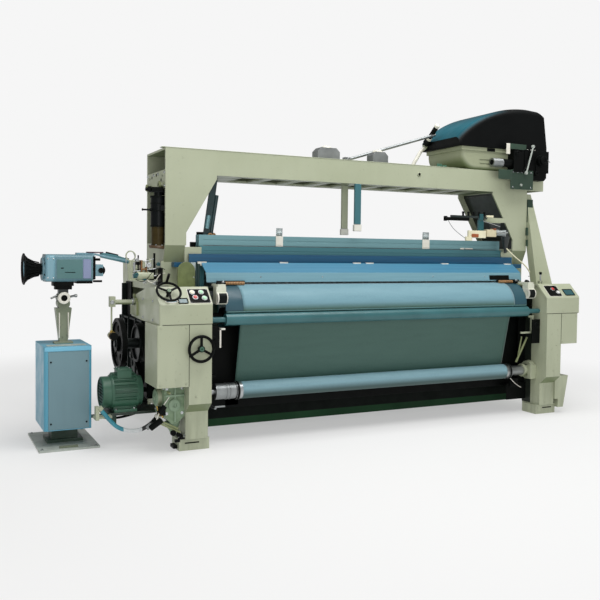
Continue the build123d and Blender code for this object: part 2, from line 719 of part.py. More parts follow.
def dobby_hood():
    """Moulded hood: a low nose on the left that sweeps up to a broad back."""
    nose = (HOOD_LEFT, CASE_TOP + 60)
    crest = (HOOD_RIGHT - 171, HOOD_TOP)
    outline = Curve() + [
        Line((HOOD_LEFT + 10, CASE_TOP), nose),
        Spline(nose, (HOOD_LEFT + 160, HOOD_TOP - 110), (HOOD_LEFT + 380, HOOD_TOP - 25), crest),
        Line(crest, (HOOD_RIGHT - 81, HOOD_TOP - 6)),
        Line((HOOD_RIGHT - 81, HOOD_TOP - 6), (HOOD_RIGHT - 31, HOOD_TOP - 50)),
        Line((HOOD_RIGHT - 31, HOOD_TOP - 50), (HOOD_RIGHT, CASE_TOP + 30)),
        Line((HOOD_RIGHT, CASE_TOP + 30), (HOOD_RIGHT, CASE_TOP)),
        Line((HOOD_RIGHT, CASE_TOP), (HOOD_LEFT + 10, CASE_TOP)),
    ]
    face = Plane.XZ.offset(-HOOD_BACK) * make_face(outline)
    body = extrude(face, amount=HOOD_BACK - HOOD_FRONT, dir=(0, -1, 0))
    front = [e for e in body.edges() if abs(e.center().Y - HOOD_FRONT) < 1]
    crown = [e for e in front if e.center().Z > CASE_TOP + 40 and e.center().X < HOOD_RIGHT - 91]
    return fillet(crown, 45)


def dobby_drive():
    """Black drive housing under the hood's right end with a silver motor and a link."""
    front = HOOD_FRONT - 45
    apron = GANTRY_FRONT - 1
    body = block(CASE_RIGHT, DRIVE_RIGHT, front, -200, GANTRY_TOP, CASE_TOP)
    body += block(CASE_RIGHT + 56, DRIVE_RIGHT - 20, front, apron, GANTRY_TOP - 55, GANTRY_TOP + 5)
    body = chamfer(body.edges().filter_by(Axis.Y).group_by(Axis.Z)[0], 20)
    body += rod_y(40, DRIVE_RIGHT - 80, front - 30, front + 5, CASE_TOP - 70)
    motor = rod_x(28, CASE_RIGHT - 94, CASE_RIGHT + 10, front + 25, CASE_TOP - 100)
    link_y = front - 12
    link = bar((CASE_RIGHT + 156, link_y, CASE_TOP - 6), (CASE_RIGHT + 76, link_y, GANTRY_TOP - 7), 7)
    plate = block(CASE_RIGHT + 66, CASE_RIGHT + 166, front - 6, front + 1, GANTRY_TOP - 17, CASE_TOP - 5)
    return body + motor + plate + link


def stay_tube():
    """Stay from the dobby down to a clevis on the beam, with two covered pedestals."""
    tube = bar((HOOD_LEFT, -130, CASE_TOP + 103), (-10, -130, GANTRY_TOP + 37), 10)
    lug = block(-30, 10, -150, -110, GANTRY_TOP, GANTRY_TOP + 53)
    group = [tube + lug]
    for x0, x1 in ((-276, -116), (134, 251)):
        pedestal = block(x0, x1, -230, -150, GANTRY_TOP, GANTRY_TOP + 93)
        pedestal = chamfer(pedestal.edges().filter_by(Axis.Y).group_by(Axis.Z)[-1], 25)
        group.append(pedestal)
    return Compound(group)


def main_shaft():
    shaft = rod_x(SHAFT_R, FLY_X - 20, JOURNAL_END + 1, SHAFT_Y, SHAFT_Z)
    pulley = rod_x(PULLEY_R, PULLEY_X - PULLEY_W / 2, PULLEY_X + PULLEY_W / 2, SHAFT_Y, SHAFT_Z)
    for side in (-1, 1):
        x = PULLEY_X + side * PULLEY_W / 2
        pulley -= rod_x(PULLEY_R - 15, x, x - side * 10, SHAFT_Y, SHAFT_Z)
    shaft += pulley
    # balance sectors beside the side frames
    for x in (-FRAME_IN + 69, FRAME_IN - 94):
        sector = rod_x(85, x, x + 25, SHAFT_Y, SHAFT_Z)
        shaft += sector & block(x, x + 25, SHAFT_Y - 90, SHAFT_Y + 90, SHAFT_Z - 90, SHAFT_Z)
    return shaft


def flywheel():
    """Dished wheel: heavy rim, thin web with holes and a hub on the shaft end."""
    half = 15
    wheel = rod_x(FLY_R, FLY_X - half, FLY_X + half, SHAFT_Y, SHAFT_Z)
    rim_in = FLY_R - 22
    wheel -= rod_x(rim_in, FLY_X - half - 1, FLY_X - 5, SHAFT_Y, SHAFT_Z)
    wheel -= rod_x(rim_in, FLY_X + 5, FLY_X + half + 1, SHAFT_Y, SHAFT_Z)
    wheel += rod_x(45, FLY_X - 22, FLY_X + half, SHAFT_Y, SHAFT_Z)
    for n in range(5):
        y, z = on_circle((SHAFT_Y, SHAFT_Z), (rim_in + 48) / 2, 72 * n + 18)
        wheel -= rod_x(22, FLY_X - 20, FLY_X + 20, y, z)
    return wheel - rod_x(SHAFT_R + RUN, FLY_X - 21, FLY_X + 20, SHAFT_Y, SHAFT_Z)


def motor_pulley():
    x0 = PULLEY_X - PULLEY_W / 2
    wheel = rod_x(MOTOR_PULLEY_R, x0, x0 + PULLEY_W, MOTOR_Y, MOTOR_Z)
    return wheel + rod_x(MOTOR_SHAFT_R, MOTOR_RIGHT - 48, x0 + 1, MOTOR_Y, MOTOR_Z)


def main_motor():
    """Finned motor with feet, terminal box, end bell and fan cowl."""
    x0, x1 = MOTOR_LEFT, MOTOR_RIGHT
    body = rod_x(MOTOR_R, x0 + 45, x1 - 25, MOTOR_Y, MOTOR_Z)
    body += rod_x(MOTOR_R - 8, x0, x0 + 45, MOTOR_Y, MOTOR_Z)
    body += rod_x(MOTOR_R - 12, x1 - 25, x1, MOTOR_Y, MOTOR_Z)
    for n in range(13):
        angle = n * 15
        fin = Pos((x0 + x1) / 2 + 10, 0, MOTOR_R + 4) * Box(x1 - x0 - 88, 4, 16)
        body += Pos(0, MOTOR_Y, MOTOR_Z) * Rot(angle - 90, 0, 0) * fin
    body += block(x0 + 75, x1 - 60, MOTOR_Y - 60, MOTOR_Y + 20, MOTOR_Z + MOTOR_R - 20, MOTOR_Z + MOTOR_R + 30)
    body += block(x0 + 55, x1 - 35, MOTOR_Y - 82, MOTOR_Y + 82, SHELF_Z, SHELF_Z + 16)
    body += block(x0 + 55, x1 - 35, MOTOR_Y - 60, MOTOR_Y + 60, SHELF_Z, MOTOR_Z - 60)
    return body - rod_x(MOTOR_SHAFT_R + RUN, x1 - 49, x1 + 1, MOTOR_Y, MOTOR_Z)


def drive_belt():
    """Flat belt round both pulleys."""
    shapes = []
    for grow in (SOFT, SOFT + BELT):
        big, small = PULLEY_R + grow, MOTOR_PULLEY_R + grow
        c1, c2 = (SHAFT_Y, SHAFT_Z), (MOTOR_Y, MOTOR_Z)
        loop = []
        touch = []
        for turn in (1, -1):
            ny, nz, _ = tangent(c1, big, c2, small, turn)
            touch.append(((c1[0] + big * ny, c1[1] + big * nz), (c2[0] + small * ny, c2[1] + small * nz)))
        dy, dz = c2[0] - c1[0], c2[1] - c1[1]
        length = hypot(dy, dz)
        far1 = (c1[0] - big * dy / length, c1[1] - big * dz / length)
        far2 = (c2[0] + small * dy / length, c2[1] + small * dz / length)
        loop.append(Line(touch[0][0], touch[0][1]))
        loop.append(ThreePointArc(touch[0][1], far2, touch[1][1]))
        loop.append(Line(touch[1][1], touch[1][0]))
        loop.append(ThreePointArc(touch[1][0], far1, touch[0][0]))
        half = PULLEY_W / 2 - 4
        face = make_face(Curve() + loop)
        shapes.append(extrude(Plane.YZ.offset(PULLEY_X - half) * face, amount=2 * half, dir=(1, 0, 0)))
    return shapes[1] - shapes[0]


def sley():
    """Rock shaft, swords and the beam that carries the reed."""
    body = rod_x(ROCK_R, -JOURNAL_END - 1, JOURNAL_END + 1, ROCK_Y, ROCK_Z)
    beam = block(-SLEY_HALF, SLEY_HALF, ROCK_Y - 22, ROCK_Y + 38, SLEY_TOP - 62, SLEY_TOP)
    beam -= block(-SLEY_HALF - 1, SLEY_HALF + 1, ROCK_Y - 23, ROCK_Y + 8, SLEY_TOP - 45, SLEY_TOP - 14)
    groove = block(-REED_HALF - RUN, REED_HALF + RUN, REED_Y - REED_T / 2 - RUN, REED_Y + REED_T / 2 + RUN, SLEY_TOP - 10, SLEY_TOP + 1)
    beam -= groove
    sword = [
        (ROCK_Y - 45, ROCK_Z - 45),
        (ROCK_Y + 45, ROCK_Z - 45),
        (ROCK_Y + 45, ROCK_Z + 40),
        (ROCK_Y + 36, SLEY_TOP - 58),
        (ROCK_Y - 20, SLEY_TOP - 58),
        (ROCK_Y - 45, ROCK_Z + 40),
    ]
    for x in (-SLEY_HALF + 50, -SLEY_HALF / 3 + 10, SLEY_HALF / 3 - 40, SLEY_HALF - 80):
        body += side_plate(sword, x, x + 30)
    return body + beam


def reed():
    low = SLEY_TOP - 10
    body = block(-REED_HALF, REED_HALF, REED_Y - REED_T / 2, REED_Y + REED_T / 2, low, REED_TOP)
    gaps = 60
    pitch = 2 * (REED_HALF - 20) / gaps
    cuts = []
    for n in range(gaps):
        x = -REED_HALF + 20 + (n + 0.5) * pitch
        cuts.append(block(x - pitch * 0.32, x + pitch * 0.32, REED_Y - REED_T, REED_Y + REED_T, low + 24, REED_TOP - 14))
    return body - cuts


def heald_frame(n):
    """Rails, end stays and flat healds; odd frames rest low, even frames high."""
    y = HEALD_Y + n * HEALD_PITCH
    top = HEALD_LOW_TOP + HEALD_LIFT * (n % 2)
    low = top - HEALD_HEIGHT
    t = HEALD_T / 2
    body = block(-HEALD_HALF, HEALD_HALF, y - t, y + t, low, top)
    stay = 26
    body -= block(-HEALD_HALF + stay, HEALD_HALF - stay, y - t - 1, y + t + 1, low + HEALD_RAIL, top - HEALD_RAIL)
    groove = block(-HEALD_HALF + stay, HEALD_HALF - stay, y - t - 1, y - t + 2, top - 34, top - 26)
    body -= groove
    healds = 24
    pitch = 2 * (HEALD_HALF - stay) / (healds + 1)
    for k in range(1, healds + 1):
        x = -HEALD_HALF + stay + k * pitch
        body += block(x - 6, x + 6, y - 1, y + 1, low + HEALD_RAIL - 1, top - HEALD_RAIL + 1)
    return body


def roller(r, half, y, z):
    body = rod_x(r, -half, half, y, z)
    return body + rod_x(JOURNAL_R, -JOURNAL_END, JOURNAL_END, y, z)


def cloth_roll():
    """Tube wound with cloth between two collars; the bare ends differ in size."""
    body = rod_x(ROLL_R, -CLOTH_HALF, CLOTH_HALF, ROLL_Y, ROLL_Z)
    for side in (-1, 1):
        body += rod_x(COLLAR_R, side * CLOTH_HALF, side * (CLOTH_HALF + 18), ROLL_Y, ROLL_Z)
    body += rod_x(44, -BARE_END, -CLOTH_HALF - 17, ROLL_Y, ROLL_Z)
    body += rod_x(31.5, CLOTH_HALF + 17, BARE_END, ROLL_Y, ROLL_Z)
    return body + rod_x(JOURNAL_R, -JOURNAL_END, JOURNAL_END, ROLL_Y, ROLL_Z)


def fabric():
    """Cloth from the fell over the breast beam, behind the press roller to the roll."""
    mid = SOFT + CLOTH / 2
    breast = (BREAST_Y, BREAST_Z)
    lip = (BREAST_Y - BREAST_R - mid + 5, BREAST_Z)
    press = (PRESS_Y, PRESS_Z)
    a = tangent(lip, 5, press, -PRESS_OUT, -1)[2]
    leave = LEAVE[2]
    end = on_circle((ROLL_Y, ROLL_Z), ROLL_R + mid, leave)
    runs = [
        ((FELL_Y, BREAST_Z + BREAST_R + mid), 0, 90, 90, 1),
        (breast, BREAST_R + mid, 90, 180, 1),
        (lip, 5, 180, a, 1),
        (press, PRESS_OUT, a - 180, leave, -1),
        (end, 0, leave + 180, leave + 180, 1),
    ]
    return ribbon(runs, CLOTH, CLOTH_HALF)


def warp_sheet():
    """Warp from the beam round the back roller to the heald frames."""
    mid = SOFT + WARP / 2
    beam, back = (BEAM_Y, BEAM_Z), (BACK_Y, BACK_Z)
    rise = tangent(beam, YARN_R + mid, back, BACK_R + mid, -1)[2]
    fell = (FELL_Y, BREAST_Z + BREAST_R + CLOTH)
    over = tangent(back, BACK_R + mid, fell, 0, -1)
    ny, nz = over[0], over[1]
    top = on_circle(back, BACK_R + mid, over[2])
    length = (top[0] - WARP_END) / nz
    end = (WARP_END, top[1] + length * ny)
    start = on_circle(beam, YARN_R + mid, rise)
    runs = [
        (start, 0, rise, rise, 1),
        (back, BACK_R + mid, rise, over[2], 1),
        (end, 0, over[2], over[2], 1),
    ]
    return ribbon(runs, WARP, CLOTH_HALF)


def warp_beam():
    face = FLANGE_HALF + FLANGE_T
    body = rod_x(BARREL_R, -FLANGE_HALF, FLANGE_HALF, BEAM_Y, BEAM_Z)
    for side in (-1, 1):
        flange = rod_x(FLANGE_R, side * FLANGE_HALF, side * face, BEAM_Y, BEAM_Z)
        rim = rod_x(FLANGE_R - 25, side * face, side * (face - 8), BEAM_Y, BEAM_Z)
        hub = rod_x(120, side * (face - 9), side * (face + 12), BEAM_Y, BEAM_Z)
        body += flange - rim + hub
        for n in range(6):
            y, z = on_circle((BEAM_Y, BEAM_Z), FLANGE_R - 140, 60 * n)
            web = Pos(side * (face - 6), y, z) * Rot(60 * n, 0, 0) * Box(8, FLANGE_R - 140, 16)
            body += web
    return body + rod_x(BEAM_JOURNAL_R, -JOURNAL_END, JOURNAL_END, BEAM_Y, BEAM_Z)


def warp_yarn():
    body = rod_x(YARN_R, -CLOTH_HALF - 20, CLOTH_HALF + 20, BEAM_Y, BEAM_Z)
    return body - rod_x(BARREL_R + RUN, -FLANGE_HALF, FLANGE_HALF, BEAM_Y, BEAM_Z)


def temple_brackets():
    """Black roller carriers at both cloth edges on pale castings beside the beam."""
    roller_y = -578
    surface = BREAST_Z + sqrt(BREAST_R**2 - (roller_y - BREAST_Y) ** 2)
    z = surface + CLOTH + 2 * SOFT + 10
    x0 = BREAST_HALF - 27
    wheel = rod_x(9, x0 - 120, x0, roller_y, z)
    frame = block(x0, x0 + 40, roller_y - 14, roller_y + 14, z - 8, z + 14)
    frame += block(x0 - 130, x0 + 5, roller_y + 10.5, roller_y + 16, z - 6, z + 14)
    front = BREAST_Y - 94
    casting = block(BREAST_HALF + 1, BREAST_HALF + 58, front - 50, front, BREAST_Z + 40, z - 12)
    casting += rod_x(34, BREAST_HALF + 4, BREAST_HALF + 50, front - 40, BREAST_Z + 72)
    casting += block(BREAST_HALF + 4, BREAST_HALF + 50, front - 50, roller_y + 14, z - 12.5, z - 1)
    right = wheel + frame + casting
    return both_sides(right)


def selvedge_unit():
    """Leno gear at both cloth edges, hung from the gantry's gussets."""
    y = GANTRY_FRONT - 21
    x = CLOTH_HALF
    z = HEALD_LOW_TOP + 2 * HEALD_LIFT - 8
    high = z + 104
    ends = [(x - 20, z + 72), (gantry_edge(z + 72), z + 72), (gantry_edge(high), high), (x - 20, high)]
    arm = front_plate(ends, GANTRY_FRONT - 16, GANTRY_FRONT)
    arm += block(x - 320, x - 15, y - 5, y + 9, high - 6, high + 8)
    for n in range(5):
        arm += rod_z(5, x - 220 + 45 * n, y, high + 7, high + 30)
    drop = [(x, z + 72), (x + 100, z + 72), (x + 80, z - 13), (x + 40, z - 13)]
    arm += front_plate(drop, y - 7, y + 7)
    holder = block(x - 35, x + 50, y - 26, y + 16, z - 28, z + 22)
    cylinder = rod_x(18, x + 49, x + 140, y, z)
    cone = Pos(x + 150, y, z - 68) * Cone(12, 31, 90)
    post = block(x + 132, x + 168, y - 10, y + 10, z - 28, z + 22)
    plug = rod_z(10, x + 150, y, z - 138, z - 108)
    right = arm + holder + cylinder + cone + post + plug
    lean = [(-x - 40, GANTRY_UNDER), (-x, GANTRY_UNDER), (-x - 80, 900), (-x - 125, 900)]
    left = front_plate(lean, -262, -250)
    left += bar((-x - 5, -256, GANTRY_UNDER - 103), (-x - 40, -256, GANTRY_UNDER - 333), 13)
    left += rod_y(17, -x - 32, -280, -245, GANTRY_UNDER - 343)
    return Compound([right, left])


def weft_guide():
    """Weft eye, gripper plates and an end plate beside the left gantry leg."""
    x_face = -GANTRY_OUT
    y = -330
    base = block(x_face - 16, x_face, y - 30, y + 30, 890, 1010)
    eye_x = x_face - 181
    arm = block(eye_x - 3, x_face - 10, y - 9, y + 9, 940, 962)
    eye = Pos(eye_x, y, 1035) * Rot(90, 0, 0) * Torus(26, 3.5)
    stem = rod_z(5, eye_x, y, 955, 1010)
    plates = block(x_face - 124, x_face - 112, y - 35, y + 35, 900, 1000)
    plates += block(x_face - 84, x_face - 72, y - 28, y + 28, 905, 1020)
    drum = rod_x(24, x_face - 154, x_face - 64, y - 30, 925)
    return base + arm + eye + stem + plates + drum


def end_plate():
    """Round-topped plate that closes the left end of the sley space."""
    face = Rectangle(100, 130) + Pos(0, 65) * Circle(50)
    middle = (-FRAME_IN - 46, -452, 890)
    plate = extrude(Plane(origin=middle, x_dir=(1, 0, 0), z_dir=(0, -1, 0)) * face, 12)
    return plate - mirrored(desk_block())


def accumulator():
    """Black pressure can with a brown lower jacket, in the left gantry leg."""
    x, y = CAN_X, CAN_Y
    low = CAN_LOW
    can = rod_z(40, x, y, low + 121, low + 292)
    jacket = rod_z(36, x, y, low + 16, low + 122)
    jacket += rod_z(46, x, y, low, low + 17)
    neck = rod_z(22, x, y, low + 291, low + 325)
    clamp = block(x, -GANTRY_OUT + 20, GANTRY_FRONT + PLATE, y + 12, low + 210, low + 240)
    head = block(x - 40, x + 42, y - 26, y + 26, low + 316, low + 340)
    lever = rod_x(5, x - 88, x - 36, y - 10, low + 216)
    return can + jacket + neck + clamp + head + lever


def valve_arm():
    """Beige arm beside the left desk, its hanging pipe and the brass valve."""
    x, y, z = VALVE_X, VALVE_Y, VALVE_Z
    arm = rod_x(14, x - 4, -DESK_OUT, y, z + 186)
    arm += block(x - 12, x + 18, y - 20, y + 20, z + 160, z + 218)
    pipe = rod_z(5, x, y, z + 10, z + 162)
    body = rod_y(18, x, y - 30, y + 22, z)
    body -= rod_y(6 + RUN, x, y - 31, y - 10, z)
    return arm + pipe + body


def valve_knob():
    knob = rod_y(22, VALVE_X, VALVE_Y - 66, VALVE_Y - 32, VALVE_Z)
    return knob + rod_y(6, VALVE_X, VALVE_Y - 40, VALVE_Y - 11, VALVE_Z)


def feeder_base():
    x, y = STAND_X, STAND_Y
    plate = block(x - STAND_PLATE_X / 2, x + STAND_PLATE_X / 2, y - STAND_PLATE_Y / 2, y + STAND_PLATE_Y / 2, 0, 12)
    foot = block(x - 95, x + 95, y - 80, y + 80, 12, 30) + block(x - 70, x + 70, y - 55, y + 55, 29, BOX_LOW)
    return plate + foot


def control_box():
    x, y = STAND_X, STAND_Y
    body = block(x - BOX_W / 2, x + BOX_W / 2, y - BOX_D / 2, y + BOX_D / 2, BOX_LOW, BOX_TOP)
    body = fillet(body.edges().filter_by(Axis.Z), 14)
    front = y - BOX_D / 2
    body -= block(x - BOX_W / 2 + 22, x + BOX_W / 2 - 14, front - 1, front + 3, BOX_LOW + 4, BOX_TOP - 26)
    for side in (-60, 60):
        body -= block(x + side - 38, x + side + 38, y - 120, y - 100, BOX_TOP - 6, BOX_TOP + 1)
    return body


def feeder_column():
    """Cast arm, broad at the knuckle and narrow where it enters the box."""
    low = Plane(origin=(STAND_X, STAND_Y, BOX_TOP)) * Rectangle(42, 46)
    high = Plane(origin=(STAND_X, STAND_Y, TILT_Z - 55)) * Rectangle(86, 60)
    arm = loft([low, high])
    arm += block(STAND_X - 50, STAND_X + 50, STAND_Y - 34, STAND_Y + 34, BOX_TOP, BOX_TOP + 10)
    arm += rod_y(34, STAND_X, STAND_Y - 30, STAND_Y + 30, TILT_Z - 30)
    cheeks = rod_y(34, STAND_X, STAND_Y - 40, STAND_Y + 40, TILT_Z)
    cheeks -= rod_y(36, STAND_X, STAND_Y - 22, STAND_Y + 22, TILT_Z)
    arm -= rod_y(36.5, STAND_X, STAND_Y - 22, STAND_Y + 22, TILT_Z)
    arm += cheeks
    return arm - rod_y(12 + RUN, STAND_X, STAND_Y - 50, STAND_Y + 50, TILT_Z)


def feeder_head():
    """Feeder body with a rounded top, its bracket and the pivot pin."""
    x0, x1 = STAND_X - 100, STAND_X + 150
    y0, y1 = STAND_Y - 70, STAND_Y + 70
    body = block(x0, x1, y0, y1, HEAD_LOW, HEAD_TOP)
    body = fillet(body.edges().filter_by(Axis.X), 24)
    body += rod_x(62, x0 - 14, x0 + 1, STAND_Y, HEAD_AXIS_Z)
    bracket = block(STAND_X - 40, STAND_X + 46, STAND_Y - 21, STAND_Y + 21, TILT_Z + 50, HEAD_LOW + 2)
    knuckle = rod_y(33, STAND_X, STAND_Y - 21, STAND_Y + 21, TILT_Z)
    knuckle += block(STAND_X - 26, STAND_X + 26, STAND_Y - 21, STAND_Y + 21, TILT_Z, TILT_Z + 52)
    pin = rod_y(12, STAND_X, STAND_Y - 46, STAND_Y + 46, TILT_Z)
    head = body + bracket + knuckle + pin
    return head - rod_x(10 + RUN, x0 - 15, x0 + 40, STAND_Y, HEAD_AXIS_Z)


def feeder_boom():
    """Flat arm from the feeder towards the loom, with the fork of the tension wheel."""
    x1 = STAND_X + 150
    low, high = HEAD_TOP, HEAD_TOP + 10
    under = [(x1 - 80, low), (x1 + 6, low), (BOOM_END, low - 40)]
    strip = under + [(BOOM_END, high - 40), (x1 + 6, high), (x1 - 80, high)]
    boom = front_plate(strip, STAND_Y - 22, STAND_Y + 22)
    fork = block(x1, x1 + 14, STAND_Y - 40, STAND_Y + 40, HEAD_LOW + 10, low + 1)
    for side in (-40, 28):
        fork += block(x1 + 13, x1 + 62, STAND_Y + side, STAND_Y + side + 12, WHEEL_AXIS_Z - 32, WHEEL_AXIS_Z + 33)
    fork -= rod_y(5 + RUN, x1 + 50, STAND_Y - 41, STAND_Y + 41, WHEEL_AXIS_Z)
    return boom + fork


def tension_wheel():
    x = STAND_X + 200
    wheel = rod_y(30, x, STAND_Y - 12, STAND_Y + 12, WHEEL_AXIS_Z)
    wheel -= rod_y(22, x, STAND_Y - 13, STAND_Y - 7, WHEEL_AXIS_Z)
    return wheel + rod_y(5, x, STAND_Y - 39, STAND_Y + 39, WHEEL_AXIS_Z)


def winder_disc():
    """Bell-shaped winder with ribs round its mouth, on a shaft into the head."""
    mouth = 96.0
    profile = Curve() + [
        Line((0, 0), (0, 30)),
        Line((0, 30), (-22, 34)),
        ThreePointArc((-22, 34), (-62, 52), (4 - mouth, 84)),
        Line((4 - mouth, 84), (-mouth, 78)),
        ThreePointArc((-mouth, 78), (-66, 44), (-30, 24)),
        Line((-30, 24), (-30, 0)),
        Line((-30, 0), (0, 0)),
    ]
    bell = revolve(Plane.XZ * make_face(profile), Axis.X)
    bell += Pos(24, 0, 0) * Rot(0, 90, 0) * Cylinder(10, 50)
    return Pos(STAND_X - DISC_REACH + mouth, STAND_Y, HEAD_AXIS_Z) * bell


# Cords: points chosen by hand along each route
HOSE_R = 11.0
HOSE_Y = -530.0
HOSE = [
    (-1700, HOSE_Y, 219),
    (-1657, HOSE_Y, 163),
    (-1608, HOSE_Y, 114),
    (-1527, HOSE_Y, 89),
    (-1444.5, HOSE_Y, 109.5),
    (-1384.3, HOSE_Y, 169.7),
]
CABLE_R = 7.0
CABLE = [
    (STAND_X + BOX_W / 2 + SOFT, -225, 128),
    (-1676, -225, 128),
    (-1625, -240, 118),
    (-1570, -252, 112),
    (-1500, -256, 120),
    (-1430, -258, 138),
    (-1360, -258, 158),
    (-FRAME_OUT - SOFT, -258, 158),
]


def cord(points, r):
    """Tube of straight runs joined by arcs as large as each corner allows."""
    spots = [Vector(*p) for p in points]
    radii = []
    for a, b, c in zip(spots, spots[1:], spots[2:]):
        run = min((b - a).length, (c - b).length)
        turn = radians((b - a).get_angle(c - b))
        radii.append(0.45 * run / tan(turn / 2))
    path = FilletPolyline(*points, radius=radii)
    print("cord", round(path.length, 1), "radii", [round(v, 1) for v in radii])
    start = Plane(origin=path @ 0, z_dir=path % 0)
    tube = sweep(start * Circle(r), path=path)
    print("volume share", round(tube.volume / (pi * r * r * path.length), 5))
    return tube


# The middle of the whole outline in X and Y comes to the origin
MOVE_X = (DISC_REACH - STAND_X - HOOD_RIGHT) / 2
MOVE_Y = -(WHEEL_FRONT - 8 + BEAM_Y + FLANGE_R) / 2

export(side_frame_left(), "side_frame_left")
export(side_frame_right(), "side_frame_right")
export(cross_beams(), "cross_beams")
export(levelling_feet(), "levelling_feet")
export(console_left(), "console_left")
export(console_right(), "console_right")
export(lever_right(), "lever_right")
for name, x, up in LEFT_BUTTONS + RIGHT_BUTTONS:
    export(button(x, up), name)
export(desk_wheel(), "desk_wheel")
export(take_up_wheel(), "take_up_wheel")
export(cover_left(), "cover_left")
export(covers_right(), "covers_right")
export(breast_beam(), "breast_beam")
export(splash_guard(), "splash_guard")
export(gantry(), "gantry")
export(strut_right(), "strut_right")
export(centre_guides(), "centre_guides")
export(dobby_case(), "dobby_case")
export(dobby_hood(), "dobby_hood")
export(dobby_drive(), "dobby_drive")
export(stay_tube(), "stay_tube")
export(main_shaft(), "main_shaft")
export(flywheel(), "flywheel")
export(motor_pulley(), "motor_pulley")
export(main_motor(), "main_motor")
export(drive_belt(), "drive_belt")
export(sley(), "sley")
export(reed(), "reed")
for n in range(HEALDS):
    export(heald_frame(n), f"heald_frame_{n + 1}")
export(roller(PRESS_R, PRESS_HALF, PRESS_Y, PRESS_Z), "press_roller")
export(roller(TAKE_R, PRESS_HALF - 6, TAKE_Y, TAKE_Z), "take_up_roller")
export(cloth_roll(), "cloth_roll")
export(fabric(), "fabric")
export(warp_sheet(), "warp_sheet")
export(warp_beam(), "warp_beam")
export(warp_yarn(), "warp_yarn")
export(roller(BACK_R, BACK_HALF, BACK_Y, BACK_Z), "back_roller")
export(temple_brackets(), "temple_brackets")
export(selvedge_unit(), "selvedge_unit")
export(Compound([weft_guide(), end_plate()]), "weft_guide")
export(accumulator(), "accumulator")
export(valve_arm(), "valve_arm")
export(valve_knob(), "valve_knob")
export(feeder_base(), "feeder_base")
export(control_box(), "control_box")
export(feeder_column(), "feeder_column")
export(feeder_head(), "feeder_head")
export(feeder_boom(), "feeder_boom")
export(tension_wheel(), "tension_wheel")
export(winder_disc(), "winder_disc")
export(cord(HOSE, HOSE_R), "water_hose")
export(cord(CABLE, CABLE_R), "feeder_cable")
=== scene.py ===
# %% [markdown]
# # A power loom dressed in Blender
# The rigid parts come packed with their joints, as the frame. This lesson gives them
# their finishes and adds what engineering solids leave out: cloth, yarn, heald wires,
# screws, panels, fins and hoses. Every piece is drawn where the frame already has it.
# %% Load the frame
from itertools import product
from math import acos, atan2, cos, hypot, pi, radians, sin, sqrt

import bmesh
import bpy
from mathutils import Matrix, Vector

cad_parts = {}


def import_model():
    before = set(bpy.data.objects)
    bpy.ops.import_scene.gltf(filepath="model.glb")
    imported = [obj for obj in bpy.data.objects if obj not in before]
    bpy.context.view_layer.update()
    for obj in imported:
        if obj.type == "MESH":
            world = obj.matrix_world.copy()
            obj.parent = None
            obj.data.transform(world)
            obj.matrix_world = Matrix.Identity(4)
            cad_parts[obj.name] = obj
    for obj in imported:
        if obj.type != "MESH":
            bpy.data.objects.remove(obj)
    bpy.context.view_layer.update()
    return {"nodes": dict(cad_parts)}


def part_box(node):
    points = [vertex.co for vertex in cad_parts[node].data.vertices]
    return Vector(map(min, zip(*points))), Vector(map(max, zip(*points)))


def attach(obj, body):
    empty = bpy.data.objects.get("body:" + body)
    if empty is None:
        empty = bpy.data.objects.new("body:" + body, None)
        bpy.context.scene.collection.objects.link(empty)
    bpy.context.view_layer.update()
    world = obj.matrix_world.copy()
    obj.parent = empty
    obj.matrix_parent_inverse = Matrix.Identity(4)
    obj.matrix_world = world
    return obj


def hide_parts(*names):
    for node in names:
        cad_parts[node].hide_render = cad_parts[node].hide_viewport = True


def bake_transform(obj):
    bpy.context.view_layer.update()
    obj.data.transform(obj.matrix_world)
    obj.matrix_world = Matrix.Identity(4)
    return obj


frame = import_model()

nodes = frame["nodes"]

# %% [markdown]
# The loom was measured from the middle of its cloth, in millimetres, and the packed
# frame has its origin under the middle of loom and feeder stand. One function turns
# the first into the second, so each size below reads as it would on a drawing.
# %% Places in loom millimetres
CLOTH_CENTRE = Vector((0.293, -0.049, 0.0))


def at(x, y, z):
    return Vector((x, y, z)) / 1000 + CLOTH_CENTRE


def low_high(node):
    """A part's lowest and highest corners, in loom millimetres."""
    low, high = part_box(node)
    return (low - CLOTH_CENTRE) * 1000, (high - CLOTH_CENTRE) * 1000


# Directions in which small gear is turned or screwed on
TO_FRONT, TO_LEFT, TO_RIGHT, UPRIGHT = (0, -1, 0), (-1, 0, 0), (1, 0, 0), (0, 0, 1)

for check in ("cloth_roll", "dobby_hood"):
    print(check, [round(v) for corner in low_high(check) for v in corner])

# %% [markdown]
# The photograph was taken from the weaver's left at eye height with a longish lens.
# The camera below has that place, those directions and that lens. The view centre sits
# a little above the middle of the picture, which a small vertical shift repeats.
# %% Camera
LENS_MM = 46.66
VIEW_DOWN_SHIFT = -16 / 600
EYE = at(-2559.4, -4650.0, 1050.0)
AHEAD = Vector((0.43993, 0.89726, -0.03711)).normalized()
RIGHT = Vector((0.89801, -0.43984, 0.01121)).normalized()
UP = RIGHT.cross(AHEAD).normalized()

camera = bpy.data.objects.new("camera", bpy.data.cameras.new("camera"))
bpy.context.scene.collection.objects.link(camera)
camera.data.lens = LENS_MM
camera.data.sensor_width = 36.0
camera.data.shift_y = VIEW_DOWN_SHIFT
turn = Matrix((UP.cross(-AHEAD), UP, -AHEAD)).transposed()
camera.matrix_world = Matrix.Translation(EYE) @ turn.to_4x4()
bpy.context.scene.camera = camera
print("camera at", [round(v, 2) for v in EYE])

# %% [markdown]
# Colours are written as a screen shows them and turned to linear light by one function.
# Materials are node trees, and one small helper adds a node with its settings and links.
# %% Colour and node helpers


